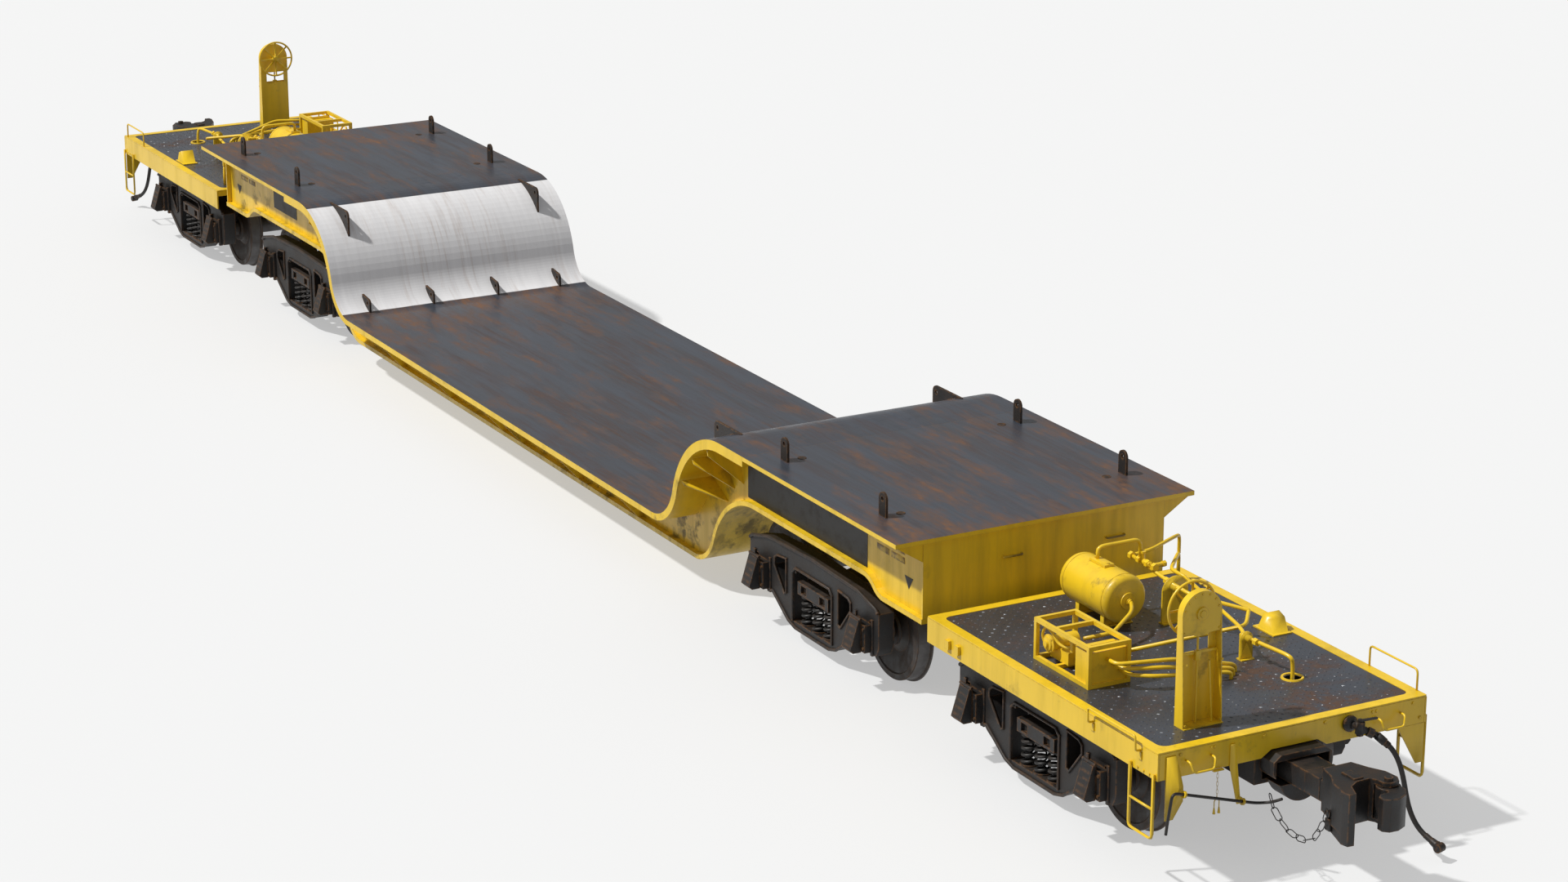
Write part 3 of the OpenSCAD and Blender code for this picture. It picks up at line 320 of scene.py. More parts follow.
def add_bump(tree, shader, place, strength, distance, **skin):
    height = placed_group(tree, "skin", Vector=place, **skin)
    bump = add_node(tree, "Bump", {"Strength": strength, "Distance": distance, "Height": height})
    feed(tree, shader, Normal=bump.outputs[0])


# ---------- finishes ----------

END_PLATE_FROM_TO = (8.14, 8.16)
SMUDGE_Z = 1.33
WHITE_FOOT = (3.842, 3.85)
WHITE_TOP_A = 4.81
WHITE_TOP_B = 4.72
PALE_GREY = (0.42, 0.42, 0.45)
RUST_DRIP = (0.36, 0.24, 0.16)
# Pale rubbed metal of the lug tops, also used as a painted highlight for glints.
RUBBED_LUG_AND_GLINT = (0.62, 0.66, 0.72)
ROLLED_STEEL = (0.15, 0.145, 0.145)
LIGHT_STEEL = (0.30, 0.28, 0.26)
DARK_STEEL = (0.12, 0.10, 0.09)
WHITE_LIGHT = (1.0, 1.0, 1.0, 1.0)


def yellow_colour(tree, place, dirt):
    """The yellow paint's colour and its dirt mask, to use in more than one finish."""
    look = paint()
    faded = patches(tree, place, 1.1, 0.55, 0.22)
    colour = mix_colour(tree, faded, look.yellow, look.yellow_faded)
    runs = patches(tree, place, 1.0, 0.18 + 0.42 * dirt, 0.16, (7.0, 7.0, 0.7))
    runs = times(tree, runs, 0.30 + 0.35 * dirt)
    colour = mix_colour(tree, runs, colour, scaled(look.yellow, 0.35))
    blots = patches(tree, place, 4.2, 0.14 + 0.52 * dirt, 0.05)
    regions = patches(tree, place, 0.70, 0.25 + 0.40 * dirt, 0.10)
    blots = times(tree, times(tree, blots, regions), 0.85)
    colour = mix_colour(tree, blots, colour, look.grime)
    chipped = placed_group(tree, "edges", Vector=place, Width=0.010, Amount=0.35 + 0.5 * dirt)
    colour = mix_colour(tree, chipped, colour, look.brown_rust)
    return colour, calculate(tree, "MAXIMUM", blots, calculate(tree, "MAXIMUM", runs, chipped))


def smudges(tree, place):
    """Oily smudges at the middle height of the end plates."""
    axes = add_node(tree, "SeparateXYZ", {0: place})
    along = calculate(tree, "ABSOLUTE", axes.outputs[0])
    at_end = spread(tree, along, *END_PLATE_FROM_TO)
    height = calculate(tree, "ABSOLUTE", calculate(tree, "SUBTRACT", axes.outputs[2], SMUDGE_Z))
    band = spread(tree, height, 0.24, 0.08)
    cloud = patches(tree, place, 4.0, 0.74, 0.05, (1.0, 0.75, 1.2))
    return times(tree, times(tree, at_end, band), cloud)


def yellow_finish(name, dirt, smudged=False):
    material, tree, shader, place = new_material(name, Coat_Weight=0.15, Coat_Roughness=0.2)
    colour, soiled = yellow_colour(tree, place, dirt)
    if smudged:
        colour = mix_colour(tree, times(tree, smudges(tree, place), 0.85), colour, paint().grime)
    feed(tree, shader, Base_Color=colour, Roughness=spread(tree, soiled, 0.0, 1.0, 0.36, 0.72))
    add_bump(tree, shader, place, 0.25, 0.002, Fine=140.0, Coarse=14.0, Balance=0.6)
    return material


def steel_colour(tree, place, orange):
    """Deck steel: blue-grey plate with bands and rust along the car, and orange rust where orange is high."""
    look = paint()
    bands = patches(tree, place, 1.0, 0.50, 0.20, (0.30, 5.5, 1.0))
    fine = patches(tree, place, 1.0, 0.45, 0.24, (1.1, 34.0, 1.0))
    colour = mix_colour(tree, bands, look.deck, look.deck_worn)
    colour = mix_colour(tree, times(tree, fine, 0.45), colour, scaled(look.deck, 1.75))
    brown = patches(tree, place, 1.0, 0.40, 0.12, (0.55, 4.2, 1.0))
    torn = patches(tree, place, 1.0, 0.55, 0.20, (2.2, 26.0, 1.0))
    brown = times(tree, times(tree, brown, torn), 0.85)
    colour = mix_colour(tree, brown, colour, look.brown_rust)
    fresh = patches(tree, place, 2.6, orange, 0.11, (0.55, 1.9, 1.0))
    broken = patches(tree, place, 11.0, 0.62, 0.22, (0.7, 1.6, 1.0))
    fresh = times(tree, fresh, broken)
    colour = mix_colour(tree, times(tree, fresh, 0.75), colour, look.orange_rust)
    return colour, calculate(tree, "MAXIMUM", brown, fresh)


def top_side(tree):
    """One on faces that look up, even on the steep slope, and nought on edges and undersides."""
    return spread(tree, normal_part(tree, 2), 0.10, 0.16)


def deck_finish(name, rust_from, rust_to, most_rust):
    """Deck steel on top and yellow edges. The orange rust grows from one place along the car to another."""
    material, tree, shader, place = new_material(name, Metallic=0.0, Specular_IOR_Level=0.6)
    along = calculate(tree, "ABSOLUTE", part_of(tree, place, 0))
    orange = spread(tree, along, rust_from, rust_to, 0.26, most_rust)
    steel, rusty = steel_colour(tree, place, orange)
    yellow, soiled = yellow_colour(tree, place, paint().platform_dirt)
    top = top_side(tree)
    feed(tree, shader, Base_Color=mix_colour(tree, top, yellow, steel))
    rough = spread(tree, rusty, 0.0, 1.0, 0.33, 0.72)
    painted = spread(tree, soiled, 0.0, 1.0, 0.36, 0.7)
    feed(tree, shader, Roughness=mix_value(tree, top, painted, rough))
    add_bump(tree, shader, place, 0.22, 0.002, Fine=90.0, Coarse=3.0, Balance=0.55)
    return material


def slope_finish():
    """The slope's plates: white between its foot and its knee, deck steel beyond, yellow on the edges."""
    look = paint()
    material, tree, shader, place = new_material("slope_paint", Specular_IOR_Level=0.5)
    axes = add_node(tree, "SeparateXYZ", {0: place})
    along = calculate(tree, "ABSOLUTE", axes.outputs[0])
    wobble = noise(tree, place, 2.2, 5.0)
    along = calculate(tree, "ADD", along, spread(tree, wobble, 0.0, 1.0, -0.012, 0.012))
    painted_to = spread(tree, axes.outputs[0], -0.1, 0.1, WHITE_TOP_A, WHITE_TOP_B)
    below = spread(tree, calculate(tree, "SUBTRACT", painted_to, along), 0.0, 0.01)
    white = times(tree, spread(tree, along, *WHITE_FOOT), below)
    steel, rusty = steel_colour(tree, place, spread(tree, along, 3.7, 4.6, 0.52, 0.24))
    streaks = patches(tree, place, 1.0, 0.48, 0.26, (1.2, 16.0, 0.7))
    pale = mix_colour(tree, times(tree, streaks, 0.30), look.white, PALE_GREY)
    drips = patches(tree, place, 1.0, 0.30, 0.10, (1.6, 22.0, 0.9))
    drips = times(tree, drips, patches(tree, place, 1.3, 0.45, 0.15))
    pale = mix_colour(tree, times(tree, drips, 0.55), pale, RUST_DRIP)
    yellow, soiled = yellow_colour(tree, place, look.platform_dirt)
    colour = mix_colour(tree, white, steel, pale)
    top = top_side(tree)
    feed(tree, shader, Base_Color=mix_colour(tree, top, yellow, colour))
    rough = spread(tree, calculate(tree, "MAXIMUM", rusty, soiled), 0.0, 1.0, 0.34, 0.7)
    feed(tree, shader, Roughness=rough)
    add_bump(tree, shader, place, 0.2, 0.002, Fine=90.0, Coarse=5.0, Balance=0.55)
    return material


def tread_finish(name, polished_and_glint):
    """Dark tread plate with rust. The share given is how much of it gets pale spots, or nought: rubbed bright
    metal, and also painted highlights that stand in for glints.
    """
    look = paint()
    material, tree, shader, place = new_material(name, Specular_IOR_Level=0.7)
    cloud = patches(tree, place, 2.0, 0.5, 0.25)
    colour = mix_colour(tree, cloud, look.tread, scaled(look.tread, 1.6))
    brown = patches(tree, place, 1.7, 0.36, 0.07, (1.0, 0.6, 1.0))
    torn = patches(tree, place, 14.0, 0.62, 0.12)
    brown = times(tree, brown, torn)
    colour = mix_colour(tree, brown, colour, look.brown_rust)
    if polished_and_glint:
        # Pale spots: rubbed bright metal, and also painted highlights (glints) on the lugs.
        bright = patches(tree, place, 17.0, polished_and_glint, 0.05)
        colour = mix_colour(tree, bright, colour, RUBBED_LUG_AND_GLINT)
        feed(tree, shader, Metallic=times(tree, bright, 0.6))
    feed(tree, shader, Base_Color=colour, Roughness=spread(tree, brown, 0.0, 1.0, 0.28, 0.7))
    add_bump(tree, shader, place, 0.2, 0.001, Fine=220.0, Coarse=20.0, Balance=0.5)
    return material


def casting_finish(name, dust, rough=0.62):
    """Rough black casting with rusty dust, most of it where the casting faces up, and rust on its edges."""
    look = paint()
    material, tree, shader, place = new_material(name, Specular_IOR_Level=0.45)
    settled = spread(tree, normal_part(tree, 2), -0.2, 0.9, 0.25, 1.0)
    clouds = patches(tree, place, 4.5, dust, 0.16)
    dusty = times(tree, clouds, settled)
    colour = mix_colour(tree, dusty, look.casting, look.casting_dust)
    worn = placed_group(tree, "edges", Vector=place, Width=0.026, Amount=0.9)
    colour = mix_colour(tree, worn, colour, look.edge_rust)
    feed(tree, shader, Base_Color=colour, Roughness=spread(tree, dusty, 0.0, 1.0, rough - 0.1, 0.85))
    add_bump(tree, shader, place, 0.55, 0.003, Fine=110.0, Coarse=26.0, Balance=0.45)
    return material


def wheel_finish():
    """Rusty wheel steel, rubbed bright on the faces that roll on the rail."""
    look = paint()
    material, tree, shader, place = new_material("wheel_steel", Specular_IOR_Level=0.5)
    rust = patches(tree, place, 7.0, 0.55, 0.2)
    colour = mix_colour(tree, rust, scaled(look.casting, 1.5), look.casting_dust)
    across = calculate(tree, "ABSOLUTE", normal_part(tree, 1))
    rolled = times(tree, spread(tree, across, 0.55, 0.25), spread(tree, rust, 0.0, 1.0, 1.0, 0.7))
    colour = mix_colour(tree, rolled, colour, ROLLED_STEEL)
    worn = placed_group(tree, "edges", Vector=place, Width=0.022, Amount=0.8)
    colour = mix_colour(tree, worn, colour, look.edge_rust)
    feed(tree, shader, Base_Color=colour, Roughness=spread(tree, rust, 0.0, 1.0, 0.42, 0.8),
         Metallic=times(tree, rolled, 0.5))
    add_bump(tree, shader, place, 0.35, 0.002, Fine=120.0, Coarse=30.0, Balance=0.5)
    return material


def black_finish(name, rough, dust):
    look = paint()
    material, tree, shader, place = new_material(name, Specular_IOR_Level=0.5)
    dusty = patches(tree, place, 9.0, dust, 0.2)
    colour = mix_colour(tree, times(tree, dusty, 0.5), look.black, look.casting_dust)
    feed(tree, shader, Base_Color=colour, Roughness=spread(tree, dusty, 0.0, 1.0, rough, 0.75))
    add_bump(tree, shader, place, 0.3, 0.001, Fine=260.0, Coarse=40.0, Balance=0.4)
    return material


def bright_finish():
    material, tree, shader, place = new_material("bright_steel", Metallic=0.9)
    rubbed = patches(tree, place, 12.0, 0.5, 0.2)
    colour = mix_colour(tree, rubbed, LIGHT_STEEL, DARK_STEEL)
    feed(tree, shader, Base_Color=colour, Roughness=spread(tree, rubbed, 0.0, 1.0, 0.3, 0.55))
    add_bump(tree, shader, place, 0.2, 0.001, Fine=200.0, Coarse=40.0, Balance=0.4)
    return material


MAKERS = {
    "yellow_body": lambda: yellow_finish("yellow_body", paint().body_dirt, True),
    "yellow_platform": lambda: yellow_finish("yellow_platform", paint().platform_dirt),
    "well_deck": lambda: deck_finish("well_deck", 1.2, 3.7, 0.50),
    "raised_deck": lambda: deck_finish("raised_deck", 6.6, 8.17, 0.56),
    "slope_paint": slope_finish,
    "tread_plate": lambda: tread_finish("tread_plate", 0.0),
    # The lugs' pale spots are rubbed metal and also painted glints.
    "tread_lugs": lambda: tread_finish("tread_lugs", 0.34),
    "truck_casting": lambda: casting_finish("truck_casting", 0.42),
    "coupler_casting": lambda: casting_finish("coupler_casting", 0.34, 0.55),
    "lug_casting": lambda: casting_finish("lug_casting", 0.6),
    "wheel_steel": wheel_finish,
    "spring_black": lambda: black_finish("spring_black", 0.45, 0.30),
    "iron_black": lambda: black_finish("iron_black", 0.4, 0.35),
    "panel_black": lambda: black_finish("panel_black", 0.55, 0.12),
    "hose_rubber": lambda: black_finish("hose_rubber", 0.5, 0.30),
    "bright_steel": bright_finish,
    "data_plate": lambda: yellow_finish("data_plate", 0.9),
}


FINISHES = {}


def finish(name):
    """The material of that name, made the first time it is asked for."""
    if name not in FINISHES:
        FINISHES[name] = MAKERS[name]()
    return FINISHES[name]


# ---------- shapes ----------

# The record's slot and the finish of the pieces that share them.
PAINTED = ("yellow_paint", "yellow_platform")
COUPLER_CAST = ("rusty_casting", "coupler_casting")
TRUCK_CAST = ("rusty_casting", "truck_casting")
IRON = ("black_iron", "iron_black")
LUG_STEEL = ("lug_steel", "lug_casting")


def new_piece(name, shape, body, material, smooth=35.0):
    """Makes an object of a bmesh, gives it its finish and lets it ride on a body."""
    mesh = bpy.data.meshes.new(name)
    shape.to_mesh(mesh)
    shape.free()
    return piece_of_mesh(name, mesh, body, material, smooth)


def piece_of_mesh(name, mesh, body, material, smooth=35.0):
    """Makes an object of a mesh. It rides on no body when body is None, as a blended piece must."""
    mesh.shade_smooth()
    mesh.set_sharp_from_angle(angle=math.radians(smooth))
    made = bpy.data.objects.new(name, mesh)
    bpy.context.scene.collection.objects.link(made)
    mesh.materials.clear()
    mesh.materials.append(finish(material))
    if body:
        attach(made, body)
    return made


def end_piece(name, shape, body, slot, material, smooth=35.0):
    """Makes a piece of a shape built at the B end. It is turned to the A end if its name starts with a."""
    if name.startswith("a"):
        bmesh.ops.rotate(shape, cent=(0, 0, 0), matrix=Matrix.Rotation(math.pi, 3, "Z"), verts=shape.verts)
    return new_piece(name, shape, body, material, smooth)


def low_high(node):
    """A node's lowest and highest corners, turned to the B end where it is at the A end."""
    low, high = (Vector(corner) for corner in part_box(node))
    if node.startswith("a_"):
        low, high = Vector((-high.x, -high.y, low.z)), Vector((-low.x, -low.y, high.z))
    return low, high


def block(shape, low, high, edge=0.0):
    """Adds a block between two corners, with rounded edges."""
    low, high = Vector(low), Vector(high)
    place = Matrix.Translation((low + high) / 2) @ Matrix.Diagonal((*(high - low), 1.0))
    made = bmesh.ops.create_cube(shape, size=1.0, matrix=place)["verts"]
    round_edges(shape, made, edge)
    return made


def round_edges(shape, verts, edge, segments=2):
    if edge > 0:
        found = list({link for vert in verts for link in vert.link_edges})
        bmesh.ops.bevel(shape, geom=found, offset=edge, segments=segments, profile=0.5, affect="EDGES",
                        material=-1, clamp_overlap=True)


def rod(shape, start, stop, radius, sides=16, radius_2=None):
    """Adds a round bar, or a cone, between two points."""
    start, stop = Vector(start), Vector(stop)
    turn = (stop - start).to_track_quat("Z", "Y").to_matrix().to_4x4()
    place = Matrix.Translation((start + stop) / 2) @ turn
    return bmesh.ops.create_cone(shape, cap_ends=True, segments=sides, radius1=radius,
                                 radius2=radius if radius_2 is None else radius_2,
                                 depth=(stop - start).length, matrix=place)["verts"]


def bolt(shape, place, axis, size=None, height=None):
    """Adds a hexagonal bolt head on its washer, standing out along axis."""
    size = size or sizes().bolt
    height = height or size * 0.42
    place, axis = Vector(place), Vector(axis).normalized()
    rod(shape, place, place + axis * height * 0.3, size * 0.62, 16)
    rod(shape, place + axis * height * 0.25, place + axis * height, size * 0.5, 6)


def lathe(outline, start, axis, steps=64):
    """Spins an outline of (distance along the axis, radius) points into a closed round shape."""
    shape = bmesh.new()
    verts = [shape.verts.new((radius, 0.0, along)) for along, radius in outline]
    edges = [shape.edges.new(pair) for pair in zip(verts, verts[1:])]
    bmesh.ops.spin(shape, geom=verts + edges, cent=(0, 0, 0), axis=(0, 0, 1), dvec=(0, 0, 0),
                   angle=math.tau, steps=steps, use_merge=True, use_duplicate=False)
    bmesh.ops.remove_doubles(shape, verts=shape.verts, dist=1e-6)
    bmesh.ops.recalc_face_normals(shape, faces=shape.faces)
    turn = Vector(axis).to_track_quat("Z", "Y").to_matrix().to_4x4()
    bmesh.ops.transform(shape, matrix=Matrix.Translation(Vector(start)) @ turn, verts=shape.verts)
    return shape


def tube_mesh(points, radius, closed=False, fineness=2):
    """A round bar bent along a line of points."""
    curve = bpy.data.curves.new("bar", "CURVE")
    curve.dimensions = "3D"
    curve.bevel_depth = radius
    curve.bevel_resolution = fineness
    curve.use_fill_caps = not closed
    line = curve.splines.new("POLY")
    line.points.add(len(points) - 1)
    for made, place in zip(line.points, points):
        made.co = (*place, 1.0)
    line.use_cyclic_u = closed
    bar = bpy.data.objects.new("bar", curve)
    mesh = bpy.data.meshes.new_from_object(bar)
    bpy.data.objects.remove(bar)
    bpy.data.curves.remove(curve)
    return mesh


def tube(shape, points, radius, closed=False, fineness=2):
    """Adds a bent bar to a shape."""
    mesh = tube_mesh(points, radius, closed, fineness)
    shape.from_mesh(mesh)
    bpy.data.meshes.remove(mesh)


def smooth_line(points, steps=6):
    """A smooth curve through points (Catmull-Rom), as a list of points."""
    points = [Vector(point) for point in points]
    padded = [2 * points[0] - points[1], *points, 2 * points[-1] - points[-2]]
    line = []
    for before, start, stop, after in zip(padded, padded[1:], padded[2:], padded[3:]):
        for step in range(steps):
            share = step / steps
            line.append(0.5 * (2 * start + (stop - before) * share
                               + (2 * before - 5 * start + 4 * stop - after) * share ** 2
                               + (3 * start - before - 3 * stop + after) * share ** 3))
    return [*line, points[-1]]


def bent_line(points, bend, steps=5):
    """Straight runs through points with rounded corners; bend is the length cut from each run."""
    points = [Vector(point) for point in points]
    line = [points[0]]
    for before, corner, after in zip(points, points[1:], points[2:]):
        back, ahead = before - corner, after - corner
        start = corner + back.normalized() * min(bend, back.length * 0.45)
        stop = corner + ahead.normalized() * min(bend, ahead.length * 0.45)
        for step in range(steps + 1):
            share = step / steps
            line.append(start * (1 - share) ** 2 + corner * 2 * share * (1 - share) + stop * share ** 2)
    return [*line, points[-1]]


def softened(node, edge, body, slot, material, smooth=40.0, segments=2, keep=None, name=None):
    """A copy of a CAD node with rounded edges, which stands for it. keep picks faces by their middle."""
    shape = bmesh.new()
    shape.from_mesh(NODES[node].data)
    bmesh.ops.remove_doubles(shape, verts=shape.verts, dist=1e-5)
    if keep:
        dropped = [face for face in shape.faces if not keep(face.calc_center_median())]
        bmesh.ops.delete(shape, geom=dropped, context="FACES")
    if edge:
        bmesh.ops.dissolve_limit(shape, angle_limit=math.radians(0.6), verts=shape.verts, edges=shape.edges,
                                 use_dissolve_boundaries=False, delimit=set())
        corners = [link for link in shape.edges
                   if link.is_manifold and link.calc_face_angle(0) > math.radians(34)]
        bmesh.ops.bevel(shape, geom=corners, offset=edge, segments=segments, profile=0.5, affect="EDGES",
                        material=-1, clamp_overlap=True)
    made = new_piece(name or node + "_finished", shape, body, material, smooth)
    if edge:
        made.modifiers.new("face normals", "WEIGHTED_NORMAL").keep_sharp = True
    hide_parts(node)
    return made


def join_shape(shape, other):
    """Adds another bmesh to a shape and frees it."""
    mesh = bpy.data.meshes.new("part")
    other.to_mesh(mesh)
    other.free()
    shape.from_mesh(mesh)
    bpy.data.meshes.remove(mesh)


def dress(material, *nodes):
    """Gives CAD nodes, which stay as they are, their finish."""
    for node in nodes:
        NODES[node].data.materials.clear()
        NODES[node].data.materials.append(finish(material))


# ---------- stage ----------

CAMERA_PLACE = (32.791, -15.915, 11.665)
CAMERA_TURN = (math.radians(90.0 - 17.625), 0.0, math.radians(61.4306))
LENS_MM = 85.04


class FLATCAR_OT_stage(bpy.types.Operator):
    """Sets up the camera, the plain floor and the soft studio light"""

    bl_idname = "flatcar.stage"
    bl_label = "Stage"

    def execute(self, context):
        self.add_camera(context.scene)
        self.add_floor()
        self.add_light(context.scene)
        return {"FINISHED"}

    def add_camera(self, scene):
        data = bpy.data.cameras.new("camera")
        data.lens = LENS_MM
        data.sensor_width = 36.0
        data.clip_end = 500.0
        camera = bpy.data.objects.new("camera", data)
        camera.location = CAMERA_PLACE
        camera.rotation_euler = Euler(CAMERA_TURN)
        scene.collection.objects.link(camera)
        scene.camera = camera

    def add_floor(self):
        shape = bmesh.new()
        bmesh.ops.create_grid(shape, x_segments=1, y_segments=1, size=150.0)
        mesh = bpy.data.meshes.new("floor")
        shape.to_mesh(mesh)
        shape.free()
        material, tree, shader, place = new_material("floor", Roughness=0.9, Specular_IOR_Level=0.1)
        shade = add_node(tree, "TexNoise", {"Vector": place, "Scale": 0.4}).outputs[0]
        colour = mix_colour(tree, times(tree, shade, 0.1), light().floor, scaled(light().floor, 0.98))
        feed(tree, shader, Base_Color=colour)
        shader.inputs["Emission Color"].default_value = WHITE_LIGHT
        shader.inputs["Emission Strength"].default_value = light().floor_glow
        mesh.materials.append(material)
        floor = bpy.data.objects.new("floor", mesh)
        floor.visible_diffuse = False
        bpy.context.scene.collection.objects.link(floor)

    def add_light(self, scene):
        world = bpy.data.worlds.new("studio")
        world.use_nodes = True
        world.node_tree.nodes["Background"].inputs[0].default_value = WHITE_LIGHT
        world.node_tree.nodes["Background"].inputs[1].default_value = light().sky
        scene.world = world
        key = bpy.data.lights.new("key", "SUN")
        key.energy = light().key
        key.angle = math.radians(2.5)
        key.color = (1.0, 0.98, 0.94)
        lamp = bpy.data.objects.new("key", key)
        lamp.rotation_euler = Vector((0.25, 0.70, -1.0)).to_track_quat("-Z", "Y").to_euler()
        scene.collection.objects.link(lamp)
        scene.view_settings.view_transform = "Standard"


# ---------- car body ----------


class FLATCAR_OT_car_body(bpy.types.Operator):
    """Paints the deck, the box girder and its stiffeners, and adds the deck's sockets"""

    bl_idname = "flatcar.car_body"
    bl_label = "Car body"

    def execute(self, context):
        dress("well_deck", "well_floor")
        dress("raised_deck", "raised_decks")
        dress("slope_paint", "slope_plates")
        dress("yellow_body", "side_webs", "bottom_plates", "end_plates", "stiffeners", "inner_girders")
        dress("bright_steel", "centre_plates")
        softened("tie_down_lugs", 0.003, "car_body", *LUG_STEEL)
        self.add_pockets()
        return {"FINISHED"}

    def add_pockets(self):
        """Round sockets let into the raised decks beside the lugs."""
        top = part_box("raised_decks")[1][2]
        for end in ENDS:
            shape = bmesh.new()
            for x in (5.777, 7.490):
                for side in (-1, 1):
                    centre = Vector((x, side * (1.195 - 0.170), top))
                    ring = lathe([(0.0, 0.030), (0.003, 0.031), (0.003, 0.040), (0.0, 0.041), (0.0, 0.030)],
                                 centre, (0, 0, 1), 32)
                    join_shape(shape, ring)
                    rod(shape, centre, centre + Vector((0, 0, 0.0015)), 0.030, 32)
            end_piece(end + "_deck_sockets", shape, "car_body", *LUG_STEEL)


# ---------- markings ----------

WEB_Y = 1.140
LONG_PANEL = ((4.990, 1.137), (7.140, 1.668))
SMALL_PANEL = ((5.980, 1.245), (6.700, 1.440))
TRIANGLE = ((7.76, 1.27), (7.90, 1.27), (7.83, 1.16))
PLATE_COLUMNS = ((7.30, 7.50), (7.54, 7.76))
PLATE_ROWS = (1.36, 1.44, 1.52)
PLATE_HEIGHT = 0.055
PLATE_T = 0.002


class FLATCAR_OT_markings(bpy.types.Operator):
    """Adds the blank number panels, data plates and jacking marks to the webs"""

    bl_idname = "flatcar.markings"
    bl_label = "Markings"

    def execute(self, context):
        for end in ENDS:
            for side in (-1, 1):
                hand = "left" if side > 0 else "right"
                inner, outer = sorted((side * WEB_Y, side * (WEB_Y + PLATE_T)))
                self.add_panel(f"{end}_panel_{hand}", side, inner, outer)
                self.add_plates(f"{end}_data_plates_{hand}", inner, outer)
        return {"FINISHED"}

    def add_panel(self, name, side, inner, outer):
        """A blank black panel and a triangle that points down."""
        shape = bmesh.new()
        (x0, z0), (x1, z1) = SMALL_PANEL if side > 0 else LONG_PANEL
        block(shape, (x0, inner, z0), (x1, outer, z1))
        face = side * (WEB_Y + PLATE_T / 2)
        tip = [shape.verts.new((x, face, z)) for x, z in TRIANGLE]
        base = shape.faces.new(tip)
        grown = bmesh.ops.extrude_face_region(shape, geom=[base])["geom"]
        moved = [made for made in grown if isinstance(made, bmesh.types.BMVert)]
        bmesh.ops.translate(shape, vec=(0, side * PLATE_T / 2, 0), verts=moved)
        bmesh.ops.recalc_face_normals(shape, faces=shape.faces)
        end_piece(name, shape, "car_body", "yellow_paint", "panel_black")

    def add_plates(self, name, inner, outer):
        """Two columns of blank plates."""
        shape = bmesh.new()
        for x0, x1 in PLATE_COLUMNS:
            for z in PLATE_ROWS:
                block(shape, (x0, inner, z), (x1, outer, z + PLATE_HEIGHT), 0.0004)
        end_piece(name, shape, "car_body", "yellow_paint", "data_plate")


# ---------- end platforms ----------

TREAD_TOP = 1.101
PLATFORM_END = 11.682
PLATFORM_Y = 1.252
HOLE = (10.880, 0.555)
HOLE_CLEAR = 0.095


